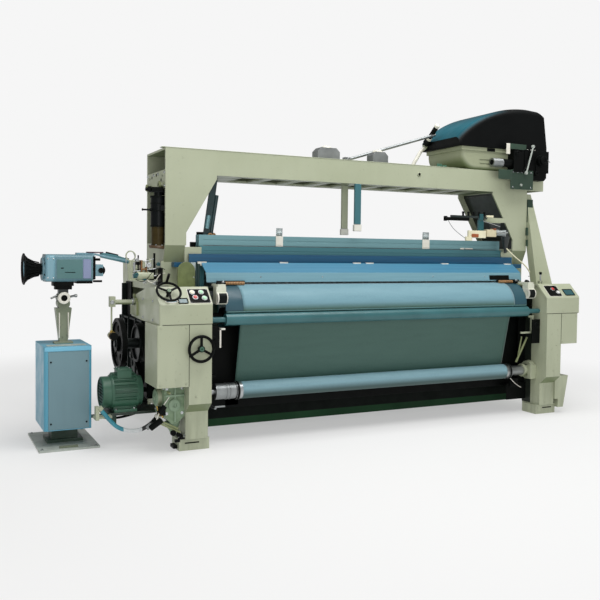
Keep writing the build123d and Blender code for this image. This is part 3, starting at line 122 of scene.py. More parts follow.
def colour(text):
    """Hex sRGB to linear RGBA."""
    parts = [int(text[i : i + 2], 16) / 255 for i in (0, 2, 4)]
    linear = [p / 12.92 if p <= 0.04045 else ((p + 0.055) / 1.055) ** 2.4 for p in parts]
    return (*linear, 1.0)


def feed(socket, value):
    """Link a node's first output or a socket, or set a plain value."""
    if isinstance(value, bpy.types.Node):
        value = value.outputs[0]
    if isinstance(value, bpy.types.NodeSocket):
        socket.id_data.links.new(value, socket)
    else:
        socket.default_value = value


def add(tree, kind, inputs=None, **settings):
    """A node with its settings and inputs, which are nodes, sockets or values."""
    made = tree.nodes.new(kind)
    for name, value in settings.items():
        setattr(made, name, value)
    for name, value in (inputs or {}).items():
        feed(made.inputs[name], value)
    return made


def blank(name):
    """A new material's tree, its surface shader and its object coordinates."""
    finish = bpy.data.materials.new(name)
    finish.use_nodes = True
    tree = finish.node_tree
    tree.nodes.clear()
    surface = add(tree, "ShaderNodeBsdfPrincipled")
    add(tree, "ShaderNodeOutputMaterial", {"Surface": surface})
    place = add(tree, "ShaderNodeTexCoord").outputs["Object"]
    return finish, tree, surface, place


# Blender's colour mix has its colour sockets at 6 and 7 and its result at 2
def blend_colour(tree, factor, first, second, way="MIX"):
    mix = add(tree, "ShaderNodeMix", data_type="RGBA", blend_type=way)
    for socket, value in ((0, factor), (6, first), (7, second)):
        feed(mix.inputs[socket], value)
    return mix.outputs[2]


def cloud(tree, place, scale, detail=3.0, low=0.35, high=0.65):
    """Noise stretched to run from 0 to 1 between two of its levels."""
    noise = add(tree, "ShaderNodeTexNoise", {"Vector": place, "Scale": scale, "Detail": detail})
    spread = add(
        tree, "ShaderNodeMapRange",
        {"Value": noise.outputs["Fac"], "From Min": low, "From Max": high},
    )
    return spread.outputs["Result"]


def inside(tree, place, ranges):
    """1 inside ranges of loom millimetres, else 0; A is the distance from the loom's middle."""
    moved = add(
        tree, "ShaderNodeVectorMath", {0: place, 1: tuple(CLOTH_CENTRE)}, operation="SUBTRACT",
    )
    parts = add(tree, "ShaderNodeSeparateXYZ", {"Vector": moved}).outputs
    result = None
    for axis, (low, high) in ranges.items():
        value = parts["X" if axis == "A" else axis]
        if axis == "A":
            value = add(tree, "ShaderNodeMath", {0: value}, operation="ABSOLUTE")
        limits = {0: value, 1: (low + high) / 2000, 2: (high - low) / 2000}
        within = add(tree, "ShaderNodeMath", limits, operation="COMPARE")
        if result is None:
            result = within
        else:
            result = add(tree, "ShaderNodeMath", {0: result, 1: within}, operation="MULTIPLY")
    return result


def upward(tree):
    """How far a face looks up: 1 on top, 0 on a wall and -1 underneath."""
    normal = add(tree, "ShaderNodeNewGeometry").outputs["Normal"]
    return add(tree, "ShaderNodeSeparateXYZ", {"Vector": normal}).outputs["Z"]


def rough_between(tree, surface, factor, low, high):
    spread = add(tree, "ShaderNodeMapRange", {"Value": factor, "To Min": low, "To Max": high})
    feed(surface.inputs["Roughness"], spread.outputs["Result"])


def bumped(tree, surface, height, depth_mm, strength=1.0, normal=None):
    bump = add(
        tree, "ShaderNodeBump",
        {"Height": height, "Strength": strength, "Distance": depth_mm / 1000},
    )
    if normal:
        feed(bump.inputs["Normal"], normal)
    feed(surface.inputs["Normal"], bump.outputs["Normal"])


def reset(finish, socket, value):
    """Change one value on a finished material's own surface shader."""
    finish.node_tree.nodes["Principled BSDF"].inputs[socket].default_value = value


# %% [markdown]
# Machine enamel is sprayed over filler and cast iron. Close up it has a fine orange-peel
# skin; further off it varies a little in tone, gathers grime near the floor, and its
# edges are rounded by the coat and rubbed paler. The Bevel node rounds the edges without
# touching the mesh, and comparing its normal with the true one finds the rubbed edges.
# Faces that look down can take a painted shade, an olive tone for the shade they lie in.
# Whole areas of a casting, given by their limits in loom millimetres, can have colours of
# their own: some are a second paint, and some are painted shade, such as its dark inside.
# %% Enamel paint
PEEL_PER_M = 450.0
CLOUD_PER_M = 2.2
EDGE_MM = 2.5
GRIME_FROM_M, GRIME_TO_M, LEAST_GRIME = 0.02, 0.5, 0.02
GRIME_TONE, SPECKLE_TONE, OIL_TONE = "3c4036", "54584a", "4d4a3c"
# The bevelled normal agrees with the true one by this much on a flat face and at an edge
ON_FLAT, ON_EDGE = 0.985, 0.85


def enamel(
    name, base, dark, edge, rough=(0.32, 0.5), grime=0.35, speckle=0.0, under=None, areas=(),
):
    finish, tree, surface, place = blank(name)
    tone = blend_colour(tree, cloud(tree, place, CLOUD_PER_M), colour(base), colour(dark))
    spots = cloud(tree, place, 60.0, 6.0, 0.62, 0.75)
    height = add(tree, "ShaderNodeSeparateXYZ", {"Vector": place}).outputs["Z"]
    near_floor = add(
        tree, "ShaderNodeMapRange",
        {
            "Value": height, "From Min": GRIME_FROM_M, "From Max": GRIME_TO_M, "To Min": grime,
            "To Max": LEAST_GRIME,
        },
    )
    streak = add(tree, "ShaderNodeMapping", {"Vector": place, "Scale": (9.0, 9.0, 1.4)})
    dirt_cloud = cloud(tree, streak, 3.0, 6.0, 0.4, 0.75)
    dirt = add(tree, "ShaderNodeMath", {0: near_floor, 1: dirt_cloud}, operation="MULTIPLY")
    tone = blend_colour(tree, dirt, tone, colour(GRIME_TONE))
    if speckle:
        amount = add(tree, "ShaderNodeMath", {0: spots, 1: speckle}, operation="MULTIPLY")
        tone = blend_colour(tree, amount, tone, colour(SPECKLE_TONE))
    # Faces that look down take a painted shade in the given tone.
    if under:
        down = {"Value": upward(tree), "From Min": -0.1, "From Max": -0.6, "To Max": 0.85}
        tone = blend_colour(tree, add(tree, "ShaderNodeMapRange", down), tone, colour(under))
    for ranges, first, second in areas:
        other = blend_colour(tree, cloud(tree, place, 30.0), colour(first), colour(second))
        tone = blend_colour(tree, inside(tree, place, ranges), tone, other)
    soft_edge = add(tree, "ShaderNodeBevel", {"Radius": EDGE_MM / 1000}, samples=4)
    true = add(tree, "ShaderNodeNewGeometry").outputs["Normal"]
    same = add(tree, "ShaderNodeVectorMath", {0: soft_edge, 1: true}, operation="DOT_PRODUCT")
    rub = add(
        tree, "ShaderNodeMapRange",
        {"Value": same.outputs["Value"], "From Min": ON_FLAT, "From Max": ON_EDGE, "To Max": 0.55},
    )
    tone = blend_colour(tree, rub, tone, colour(edge))
    feed(surface.inputs["Base Color"], tone)
    rough_between(tree, surface, cloud(tree, place, 14.0, 4.0), *rough)
    peel = add(tree, "ShaderNodeTexNoise", {"Vector": place, "Scale": PEEL_PER_M, "Detail": 1.0})
    bumped(tree, surface, peel.outputs["Fac"], 0.25, 0.12, soft_edge)
    return finish


BEIGE = ("b0b69c", "a8ae93", "c6cbb6")
OLIVE_SHADE = "5c6a42"
beige = enamel("grey_beige_machine_enamel", *BEIGE, speckle=0.2, under=OLIVE_SHADE)
gantry_beige = enamel(
    "grey_beige_enamel_dark_inside", *BEIGE, speckle=0.2, under=OLIVE_SHADE, areas=[
        # The hollow's insides are painted shade: near black in the legs and gussets, dark olive in
        # the beam and its right end box.
        ({"Y": (-374.4, -8.6), "A": (0, 1303), "Z": (1111, 1499)}, "141a16", "1c241d"),
        ({"Y": (-374.4, -8.6), "A": (0, 1315.4), "Z": (1515.5, 1634.6)}, "39452f", "2c3726"),
        ({"Y": (-374.4, -192.6), "X": (1316.6, 1451.4), "Z": (1520, 1634.6)}, "39452f", "2c3726"),
    ],
)
frame_beige = enamel(
    "grey_beige_enamel_oily_inside", *BEIGE, speckle=0.3, under=OLIVE_SHADE,
    areas=[
        # The near-black inner faces of both side frames are painted shade.
        ({"X": (-1169.6, 0), "Y": (-762, 720), "Z": (66, 869)}, "1a201b", "252c22"),
        ({"X": (0, 1169.6), "Y": (-622, 720), "Z": (66, 869)}, "1a201b", "252c22"),
        ({"X": (-1405, -1295), "Y": (-691, -509), "Z": (148, 351)}, "7f9678", "6a8063"),
        ({"X": (-1760, -1295), "Y": (-461, -269), "Z": (160, 183)}, "26382e", "1d2c24"),
    ],
)
temple_finish = enamel(
    "black_and_cream_temple_enamel", "171b1a", "101413", "4a504c", areas=[
        ({"A": (1060, 1125), "Y": (-700, -592)}, "d9dccb", "cfd2bf"),
    ],
)
weft_beige = enamel(
    "grey_beige_enamel_olive_plate", *BEIGE, speckle=0.4,
    areas=[({"X": (-1267, -1160), "Y": (-470, -420)}, "6f7a48", "606b3c")],
)
can_finish = enamel(
    "black_can_with_brown_jacket", "0d0f10", "141719", "3c4242", (0.2, 0.4), 0.0, areas=[
        ({"Z": (1097, 1201)}, "43391f", "372e19"), ({"Z": (1000, 1096.5)}, "6b5c40", "554830"),
    ],
)
case_beige = enamel(
    "grey_beige_dobby_case", "a0a689", "969c7f", "bcc2a8", speckle=0.2, under=OLIVE_SHADE,
)
selvedge_finish = enamel(
    "selvedge_gear_enamels", "2a3030", "1f2424", "6b706c", (0.3, 0.5), 0.1,
    areas=[
        ({"X": (600, 1300), "Z": (1286, 1326)}, BEIGE[0], BEIGE[1]),
        ({"X": (636, 950), "Z": (1309, 1360), "Y": (-416, -396)}, "1c2a28", "141f1e"),
        ({"X": (920, 1006), "Z": (1186, 1246)}, "d8cfae", "cbc19e"),
        ({"X": (1007, 1104), "Z": (1196, 1240)}, "b9c0bf", "a8b0af"),
        ({"X": (-1100, -950)}, "1b3a3c", "163032"),
    ],
)
head_finish = enamel(
    "blue_grey_cast_head_enamel", "5f8691", "547a85", "a3c2ca", (0.3, 0.45), 0.1, areas=[
        ({"Z": (700, 890.5)}, "1a2725", "131d1c"),
    ],
)
base_finish = enamel(
    "green_base_with_pale_plate", "22402f", "1a3325", "5b7a66", (0.3, 0.5), 0.2,
    areas=[({"Z": (-1, 12.4)}, "b3bab2", "a4aba3")],
)
breast_finish = enamel("dark_teal_breast_beam_enamel", "2c5460", "244a56", "5f8a96", areas=[
    ({"A": (1062.5, 1200)}, "1c2622", "141c19"),
    # The dark band under the beam's front lip is painted shade.
    ({"Y": (-690, -540), "Z": (700, 742)}, "182520", "101a17"),
])
base_green = enamel("dark_green_base_enamel", "22402f", "1a3325", "3f604b", (0.3, 0.5), 0.2)
beam_green = enamel(
    "green_beam_oily_top", "1f4229", "17331f", "3f604b", (0.45, 0.6), 0.1,
    # The black band along the top is painted shadow cast by the cloth roll.
    areas=[({"Z": (96, 190)}, "0a110d", "070c09")],
)
motor_green = enamel("green_motor_enamel", "3d6b55", "315a47", "7fa08d", (0.3, 0.48), 0.3, 0.3)
black_enamel = enamel("black_enamel", "0b0e0d", "070908", "2c302f", (0.42, 0.58), 0.0)
gear_black = enamel("oily_black_gear", "1c2422", "121816", "4a5350", (0.35, 0.55), 0.2)
can_brown = enamel("brown_can_ring", "5a4228", "46331e", "a58c6a", (0.3, 0.45), 0.0)
apron_green = enamel("mottled_green_apron", "35503f", "263b2e", "6c8573", (0.35, 0.5), 0.0, 0.3)
pale_blue = enamel("pale_blue_stand_enamel", "76bdd8", "6bb2cf", "b4dcea", (0.3, 0.45), 0.1)
panel_grey = enamel("blue_grey_panel_enamel", "6f8f98", "688790", "93adb4", (0.35, 0.5), 0.1)
box_blue = enamel("pale_blue_cabinet_enamel", "58a0b8", "4e95ae", "96c6d8", (0.3, 0.45), 0.1)
head_panel = enamel("green_grey_head_panel", "507c7c", "467070", "88abaa", (0.35, 0.5), 0.0)
head_lavender = enamel("lavender_band_enamel", "8792b4", "7b86a8", "b3bcd4", (0.3, 0.45), 0.05)
head_blue = enamel("blue_grey_cast_enamel", "7fa9b6", "6f99a7", "b5d0d8", (0.3, 0.45), 0.05)
column_cast = enamel("weathered_cast_enamel", "8d947c", "5f6a55", "c3c8b4", (0.35, 0.55), 0.1, 0.6)
gear_green = enamel("light_green_gear_case", "8ba287", "5f7a62", "bccbb8", (0.35, 0.5), 0.4, 0.5)
olive = enamel("olive_guard_enamel", "8c9468", "7b835a", "b8be9a", (0.35, 0.5), 0.1)
plate_grey = enamel("pale_floor_plate_enamel", "b3bab2", "a4aba3", "ccd2cb", (0.4, 0.55), 0.5)
print(len(bpy.data.materials), "materials so far")

# %% [markdown]
# Steel on a loom is turned, ground or drawn. Turned and ground parts carry fine lines
# that stretch the highlight; drawn and cast parts are duller. All are metals, so the
# colour sits in the reflection, and the lines come from noise squeezed along one axis.
# %% Bare metals


def metal(name, base, dark, rough, lines=(4.0, 900.0, 900.0), stain=0.2):
    finish, tree, surface, place = blank(name)
    squeezed = add(tree, "ShaderNodeMapping", {"Vector": place, "Scale": lines})
    line = add(tree, "ShaderNodeTexNoise", {"Vector": squeezed, "Scale": 1.0, "Detail": 2.0})
    tone = blend_colour(tree, cloud(tree, place, 8.0), colour(base), colour(dark))
    oil = add(
        tree, "ShaderNodeMath", {0: cloud(tree, place, 3.0, 5.0, 0.5, 0.8), 1: stain},
        operation="MULTIPLY",
    )
    tone = blend_colour(tree, oil, tone, colour(OIL_TONE))
    feed(surface.inputs["Base Color"], tone)
    surface.inputs["Metallic"].default_value = 1.0
    rough_between(tree, surface, line.outputs["Fac"], rough - 0.08, rough + 0.1)
    soft_edge = add(tree, "ShaderNodeBevel", {"Radius": 0.001}, samples=3)
    bumped(tree, surface, line.outputs["Fac"], 0.1, 0.15, soft_edge)
    return finish


steel = metal("turned_steel", "b9bcbd", "9a9d9c", 0.32)
oiled_steel = metal("oiled_dark_steel", "3a3f3f", "292d2d", 0.42)
ground_steel = metal("ground_steel", "c9ccce", "b3b7b8", 0.22)
heald_steel = metal("flat_steel_wire", "c4c8c8", "a5aaaa", 0.3, (900.0, 900.0, 4.0), 0.05)
brass = metal("machined_brass", "c2a45a", "a18440", 0.28)
cast_silver = metal("cast_aluminium", "a9adad", "8c9090", 0.45, (60.0, 60.0, 60.0))

# %% [markdown]
# The heald frames are extruded aluminium, painted or anodised in blue-green. The front
# frame at its low position takes the darker teal as painted shade, and the raised ones
# behind are paler.
# %% Painted aluminium of the heald frames and the guards


def extrusion(name, base, dark):
    finish, tree, surface, place = blank(name)
    squeezed = add(tree, "ShaderNodeMapping", {"Vector": place, "Scale": (1.2, 60.0, 60.0)})
    drawn = add(tree, "ShaderNodeTexNoise", {"Vector": squeezed, "Scale": 4.0, "Detail": 4.0})
    tone = blend_colour(tree, drawn.outputs["Fac"], colour(base), colour(dark))
    feed(surface.inputs["Base Color"], tone)
    surface.inputs["Metallic"].default_value = 0.35
    rough_between(tree, surface, drawn.outputs["Fac"], 0.3, 0.45)
    soft_edge = add(tree, "ShaderNodeBevel", {"Radius": 0.0015}, samples=3)
    bumped(tree, surface, drawn.outputs["Fac"], 0.1, 0.2, soft_edge)
    return finish


frame_teal = extrusion("teal_anodised_extrusion", "4a7d84", "3f7078")
frame_pale = extrusion("pale_anodised_extrusion", "7ba3a8", "6b959b")

# %% [markdown]
# Rubber and moulded plastic differ mostly in gloss: displays are glossy, knobs satin and
# rubber is matt. The press roller has a dark teal rubber coat. Oil and dust dull the
# black and dark green finishes, so they reflect far less than their plastic or paint
# would when clean. The dobby's hood is black, with a painted teal highlight on its crown.
# %% Plastics and rubber


def moulded(name, base, dark, rough, grain_per_m=700.0, depth_mm=0.15, coat=0.0):
    finish, tree, surface, place = blank(name)
    tone = blend_colour(tree, cloud(tree, place, 5.0), colour(base), colour(dark))
    feed(surface.inputs["Base Color"], tone)
    rough_between(tree, surface, cloud(tree, place, 20.0), rough - 0.05, rough + 0.08)
    surface.inputs["Coat Weight"].default_value = coat
    surface.inputs["Coat Roughness"].default_value = 0.08
    grain = add(tree, "ShaderNodeTexNoise", {"Vector": place, "Scale": grain_per_m, "Detail": 1.0})
    soft_edge = add(tree, "ShaderNodeBevel", {"Radius": 0.002}, samples=3)
    bumped(tree, surface, grain.outputs["Fac"], depth_mm, 0.2, soft_edge)
    return finish


knob_black = moulded("satin_black_plastic", "0d100f", "080a09", 0.45)
rubber_black = moulded("black_rubber", "121615", "0c0f0e", 0.6)
roller_rubber = moulded("dark_teal_roller_rubber", "3a6c70", "316063", 0.35, 500.0, 0.2)
cream = moulded("cream_button_plastic", "e8e3c4", "dcd6b6", 0.3)
red = moulded("red_button_plastic", "c8342c", "b52c26", 0.28)
pale_green = moulded("pale_green_button_plastic", "a9dcb4", "98cfa6", 0.28)
white = moulded("white_button_plastic", "eeeeea", "e0e1dd", 0.3)
tan = moulded("tan_temple_roller", "b98d5e", "a57a4d", 0.5)
nylon = moulded("white_nylon", "e9e7dd", "d9d6c9", 0.4)
plum = moulded("dark_plum_cover", "4a2238", "3a1a2c", 0.35)
glass_teal = moulded("teal_display_window", "1f5a5e", "184c52", 0.12, 200.0, 0.05, 0.5)
clear_film = moulded("limp_clear_film", "e4ecec", "d6e2e2", 0.2, 90.0, 0.4)
reset(clear_film, "Transmission Weight", 0.6)
copper = metal("bronze_leaves", "94704f", "735338", 0.4)
red_brown = moulded("red_brown_cap", "a2552c", "8a4522", 0.4)
slot_black = moulded("unlit_opening", "0a0c0b", "0e110f", 0.8)
DULL_SPECULAR = 0.08
for dull in (
    black_enamel, beam_green, gear_black, knob_black, rubber_black, slot_black, can_finish,
    temple_finish,
):
    reset(dull, "Specular IOR Level", DULL_SPECULAR)

NO_CROWN_M, FULL_CROWN_M = 1.42, 1.12  # places along X


def hood_finish():
    """Black outside, with a painted teal highlight on the crown where it faces the sky."""
    finish, tree, surface, place = blank("black_hood_with_teal_crown")
    # Upward faces towards the left end take teal as a painted sky highlight.
    crown = add(
        tree, "ShaderNodeMapRange", {"Value": upward(tree), "From Min": 0.4, "From Max": 0.8},
    )
    along = add(tree, "ShaderNodeSeparateXYZ", {"Vector": place}).outputs["X"]
    left = add(
        tree, "ShaderNodeMapRange",
        {"Value": along, "From Min": NO_CROWN_M, "From Max": FULL_CROWN_M},
    )
    painted_sky_highlight = add(tree, "ShaderNodeMath", {0: crown, 1: left}, operation="MULTIPLY")
    tone = blend_colour(tree, painted_sky_highlight, colour("060808"), colour("1b5c6a"))
    feed(surface.inputs["Base Color"], tone)
    surface.inputs["Specular IOR Level"].default_value = 0.12
    rough_between(tree, surface, cloud(tree, place, 14.0, 4.0), 0.4, 0.5)
    bumped(tree, surface, cloud(tree, place, 300.0), 0.1, 0.3)
    return finish


hood_black = hood_finish()

# %% [markdown]
# Filament cloth under tension looks like a taut, faintly silky skin: threads too fine to
# see singly, with slack and tight bands that catch the light. The weave is drawn several
# times coarser than life, as two crossed sets of fine ridges, so that it shows at all.
# The cloth over the breast beam faces the light, so a paler, bluer tone is painted on it
# as its highlight, changing with height round the beam. Where it turns down towards the
# floor it lies in the machine's shade, and a dark tone is painted in as that shade.
# %% Cloth
THREAD_MM = 2.4
BEAM_TOP_M = 0.735
WAVE_RIDGES_PER_M = 3.1831  # of a wave texture at scale 1
MACHINE_SHADE = "26403a"


def ridges(tree, place, axis, pitch_mm, distortion=0.0):
    """Sine ridges across one axis, one for each pitch."""
    scale = 1000 / pitch_mm / WAVE_RIDGES_PER_M
    inputs = {"Vector": place, "Scale": scale, "Distortion": distortion, "Detail": 1.0}
    kind = {"wave_type": "BANDS", "bands_direction": axis, "wave_profile": "SIN"}
    return add(tree, "ShaderNodeTexWave", inputs, **kind).outputs["Fac"]


def cloth(name, hanging, hanging_dark, painted_lit_top, painted_lit_top_dark, shade=(0.35, -0.75)):
    finish, tree, surface, place = blank(name)
    height = add(tree, "ShaderNodeSeparateXYZ", {"Vector": place}).outputs["Z"]
    lifted = add(
        tree, "ShaderNodeMapRange",
        {"Value": height, "From Min": BEAM_TOP_M + 0.008, "From Max": BEAM_TOP_M + 0.04},
    )
    slack = add(
        tree, "ShaderNodeMapping",
        {"Vector": place, "Rotation": (0.0, radians(8), 0.0), "Scale": (3.0, 1.0, 26.0)},
    )
    band = cloud(tree, slack, 1.6, 4.0, 0.3, 0.7)
    fleck = cloud(tree, place, 130.0, 3.0, 0.3, 0.7)
    mottled = add(tree, "ShaderNodeMath", {0: band, 1: fleck}, operation="MULTIPLY")
    low_tone = blend_colour(tree, mottled, colour(hanging), colour(hanging_dark))
    painted_highlight_tone = blend_colour(tree, mottled, colour(painted_lit_top), colour(painted_lit_top_dark))
    # Above the beam's top the paler tone is a painted highlight.
    tone = blend_colour(tree, lifted, low_tone, painted_highlight_tone)
    # Faces turning down take the machine's tone as painted shade.
    down = add(
        tree, "ShaderNodeMapRange",
        {"Value": upward(tree), "From Min": shade[0], "From Max": shade[1], "To Max": 0.9},
    )
    tone = blend_colour(tree, down, tone, colour(MACHINE_SHADE))
    feed(surface.inputs["Base Color"], tone)
    surface.inputs["Roughness"].default_value = 0.55
    surface.inputs["Sheen Weight"].default_value = 0.25
    surface.inputs["Sheen Roughness"].default_value = 0.35
    crossed = {0: ridges(tree, place, "X", THREAD_MM), 1: ridges(tree, place, "Z", THREAD_MM)}
    weave = add(tree, "ShaderNodeMath", crossed, operation="ADD")
    soft = add(tree, "ShaderNodeMath", {0: band, 1: weave, 2: 0.25}, operation="MULTIPLY_ADD")
    bumped(tree, surface, soft, 0.6, 0.35)
    return finish


loom_cloth = cloth("silky_filament_cloth", "4c7267", "41665c", "7099a5", "658f9c")
# On the roll the painted shade starts higher up its curve and darkens its underside.
rolled_cloth = cloth("wound_filament_cloth", "7fa4ae", "7398a3", "86a9b4", "7b9fab", (0.25, -0.5))
reset(rolled_cloth, "Sheen Weight", 0.05)

# %% [markdown]
# Warp yarn is hundreds of parallel threads. On the beam and in the sheet they lie side by
# side, so the finish is a set of fine grooves across the width, with slight variations in
# tone from end to end.
# %% Warp yarn
YARN_PITCH_MM = 4.0


def yarn(name, base, dark):
    finish, tree, surface, place = blank(name)
    groove = ridges(tree, place, "X", YARN_PITCH_MM, 0.1)
    squeezed = add(tree, "ShaderNodeMapping", {"Vector": place, "Scale": (120.0, 2.0, 2.0)})
    ends = add(tree, "ShaderNodeTexNoise", {"Vector": squeezed, "Scale": 1.0, "Detail": 2.0})
    mix = add(tree, "ShaderNodeMath", {0: groove, 1: ends.outputs["Fac"]}, operation="MULTIPLY")
    tone = blend_colour(tree, mix, colour(dark), colour(base))
    feed(surface.inputs["Base Color"], tone)
    surface.inputs["Roughness"].default_value = 0.5
    surface.inputs["Sheen Weight"].default_value = 0.3
    bumped(tree, surface, groove, 0.8, 0.6)
    return finish


warp_finish = yarn("pale_filament_warp", "dfe8e6", "8ea5a5")

# %% [markdown]
# The guards over the sley are bent sheet, sprayed in light blue. They are one part in the
# frame, so the finish chooses its tone by place: below the bend the paint's own grey-blue,
# above it a brighter blue as painted sky reflection, and behind it, on the upper guard, a
# deep blue as painted shade.
# %% Guard sheet in one blue, with painted light and shade
BEND_M = 0.947
UPPER_GUARD_M = -0.455


def guard_finish():
    finish, tree, surface, place = blank("blue_guard_enamel")
    parts = add(tree, "ShaderNodeSeparateXYZ", {"Vector": place})
    above = add(
        tree, "ShaderNodeMath", {0: parts.outputs["Z"], 1: BEND_M}, operation="GREATER_THAN",
    )
    behind = add(
        tree, "ShaderNodeMath", {0: parts.outputs["Y"], 1: UPPER_GUARD_M}, operation="GREATER_THAN",
    )
    drawn = add(tree, "ShaderNodeMapping", {"Vector": place, "Scale": (0.8, 8.0, 30.0)})
    shade = cloud(tree, drawn, 3.0, 4.0)
    low = blend_colour(tree, shade, colour("769fab"), colour("6d97a4"))
    # Above the bend: a brighter blue as painted sky reflection.
    high = blend_colour(tree, shade, colour("407f9c"), colour("397795"))
    # Behind, on the upper guard: a deep blue as painted shade.
    back = blend_colour(tree, shade, colour("0c5478"), colour("0a496a"))
    tone = blend_colour(tree, above, low, high)
    tone = blend_colour(tree, behind, tone, back)
    feed(surface.inputs["Base Color"], tone)
    rough_between(tree, surface, shade, 0.32, 0.45)
    soft_edge = add(tree, "ShaderNodeBevel", {"Radius": 0.002}, samples=3)
    peel = add(tree, "ShaderNodeTexNoise", {"Vector": place, "Scale": PEEL_PER_M, "Detail": 1.0})
    bumped(tree, surface, peel.outputs["Fac"], 0.2, 0.1, soft_edge)
    return finish


guard_blue = guard_finish()

# %% [markdown]
# Each carried-over part now gets the finish of the real one. Assigning to the first slot
# leaves its mesh alone.
# %% Finish the frame's parts
FINISHES = {
    "levelling_feet": ground_steel, "cross_beams": beam_green, "breast_beam": breast_finish,
    "gantry": gantry_beige, "side_frame_left": frame_beige, "side_frame_right": frame_beige,
    "weft_guide": weft_beige, "splash_guard": guard_blue, "centre_guides": steel,
    "dobby_hood": hood_black, "dobby_drive": black_enamel, "stay_tube": cast_silver,
    "dobby_case": case_beige, "main_motor": motor_green, "drive_belt": rubber_black,
    "temple_brackets": temple_finish, "selvedge_unit": selvedge_finish, "accumulator": can_finish,
    "feeder_base": base_finish, "control_box": box_blue, "feeder_column": column_cast,
    "main_shaft": oiled_steel, "flywheel": black_enamel, "motor_pulley": black_enamel,
    "sley": base_green, "reed": steel, "press_roller": roller_rubber,
    "take_up_roller": rubber_black, "cloth_roll": steel, "warp_beam": base_green,
    "warp_yarn": warp_finish, "back_roller": ground_steel, "take_up_wheel": knob_black,
    "desk_wheel": knob_black, "lever_right": steel, "valve_knob": knob_black,
    "feeder_head": head_finish, "feeder_boom": head_blue, "winder_disc": knob_black,
    "tension_wheel": knob_black, "button_cream": cream, "button_red": red,
    "button_green_upper": pale_green, "button_green_lower": pale_green, "button_right_red": red,
    # The lowered frames 1 and 3 take the darker teal as painted shade.
    "button_right_white": white, "heald_frame_1": frame_teal, "heald_frame_3": frame_teal,
    "heald_frame_2": frame_pale, "heald_frame_4": frame_pale,
}
for name, part in nodes.items():
    part.data.materials.clear()
    part.data.materials.append(FINISHES.get(name, beige))
print(len(FINISHES), "parts with their own finish, the rest in beige enamel")

# %% [markdown]
# A piece made here starts as a bmesh in loom millimetres. One function turns it into an
# object at the origin, with outward faces and smooth shading between soft edges, and
# makes it ride on a body.
# %% Piece helpers


def piece(name, mesh, finish, body="frame", bevel_mm=0.0, steps=2, smooth=35):
    bmesh.ops.remove_doubles(mesh, verts=mesh.verts, dist=0.001)
    bmesh.ops.recalc_face_normals(mesh, faces=mesh.faces)
    for vertex in mesh.verts:
        vertex.co = at(*vertex.co)
    data = bpy.data.meshes.new(name)
    mesh.to_mesh(data)
    mesh.free()
    return dressed(name, data, finish, body, bevel_mm, steps, smooth)


def dressed(name, data, finish, body="frame", bevel_mm=0.0, steps=2, smooth=35):
    data.shade_smooth()
    data.set_sharp_from_angle(angle=radians(smooth))
    data.materials.clear()
    data.materials.append(finish)
    made = bpy.data.objects.new(name, data)
    bpy.context.scene.collection.objects.link(made)
    if bevel_mm:
        edge = made.modifiers.new("soft edges", "BEVEL")
        edge.width = bevel_mm / 1000
        edge.segments = steps
        edge.limit_method = "ANGLE"
        edge.harden_normals = False
    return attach(made, body) if body else made


def block(mesh, x0, x1, y0, y1, z0, z1):
    """A box in loom millimetres; returns its vertices."""
    size = Matrix.Diagonal((x1 - x0, y1 - y0, z1 - z0, 1.0))
    middle = Matrix.Translation(((x0 + x1) / 2, (y0 + y1) / 2, (z0 + z1) / 2))
    return bmesh.ops.create_cube(mesh, size=1.0, matrix=middle @ size)["verts"]


def rod(mesh, start, end, radius, end_radius=None, sides=24):
    """A round bar or cone between two points."""
    start, end = Vector(start), Vector(end)
    way = end - start
    turn = way.to_track_quat("Z", "Y").to_matrix().to_4x4()
    spot = Matrix.Translation((start + end) / 2) @ turn
    second = radius if end_radius is None else end_radius
    return bmesh.ops.create_cone(
        mesh, cap_ends=True, segments=sides, radius1=radius, radius2=second, depth=way.length,
        matrix=spot,
    )["verts"]


def tube_curve(name, points, radius_mm, finish, body="frame"):
    """A thin pipe or wire on a smooth line through loom points."""
    line = bpy.data.curves.new(name, "CURVE")
    line.dimensions = "3D"
    line.bevel_depth = radius_mm / 1000
    line.bevel_resolution = 3
    line.resolution_u = 8
    line.use_fill_caps = True
    spline = line.splines.new("NURBS")
    spline.points.add(len(points) - 1)
    for point, spot in zip(spline.points, points):
        point.co = (*at(*spot), 1.0)
    spline.order_u = 3
    spline.use_endpoint_u = True
    line.materials.append(finish)
    made = bpy.data.objects.new(name, line)
    bpy.context.scene.collection.objects.link(made)
    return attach(made, body)


# %% [markdown]
# Round things are turned: a profile of distance and radius is spun about an axis. Flat
# plates with holes are drawn as closed curves, because a filled curve leaves its inner
# loops open, and then get their thickness.
# %% Turned shapes and plates


def turned(mesh, centre, axis, profile, sides=40):
    """Spin a profile of (distance along the axis, radius), in millimetres."""
    centre, axis = Vector(centre), Vector(axis).normalized()
    across = axis.orthogonal().normalized()
    verts = [mesh.verts.new(centre + axis * along + across * radius) for along, radius in profile]
    edges = [mesh.edges.new(pair) for pair in zip(verts, verts[1:])]
    bmesh.ops.spin(mesh, geom=verts + edges, cent=centre, axis=axis, angle=2 * pi, steps=sides)


def drum(radius, low, high, inner=0):
    """The profile of a plain round, or of a ring, between two distances along its axis."""
    return [(low, inner), (low, radius), (high, radius), (high, inner)]


def ellipse(u, v, wide, high, points=40):
    turns = [2 * pi * n / points for n in range(points)]
    return [(u + wide * cos(a), v + high * sin(a)) for a in turns]


def circle(u, v, r, points=28):
    return ellipse(u, v, r, r, points)


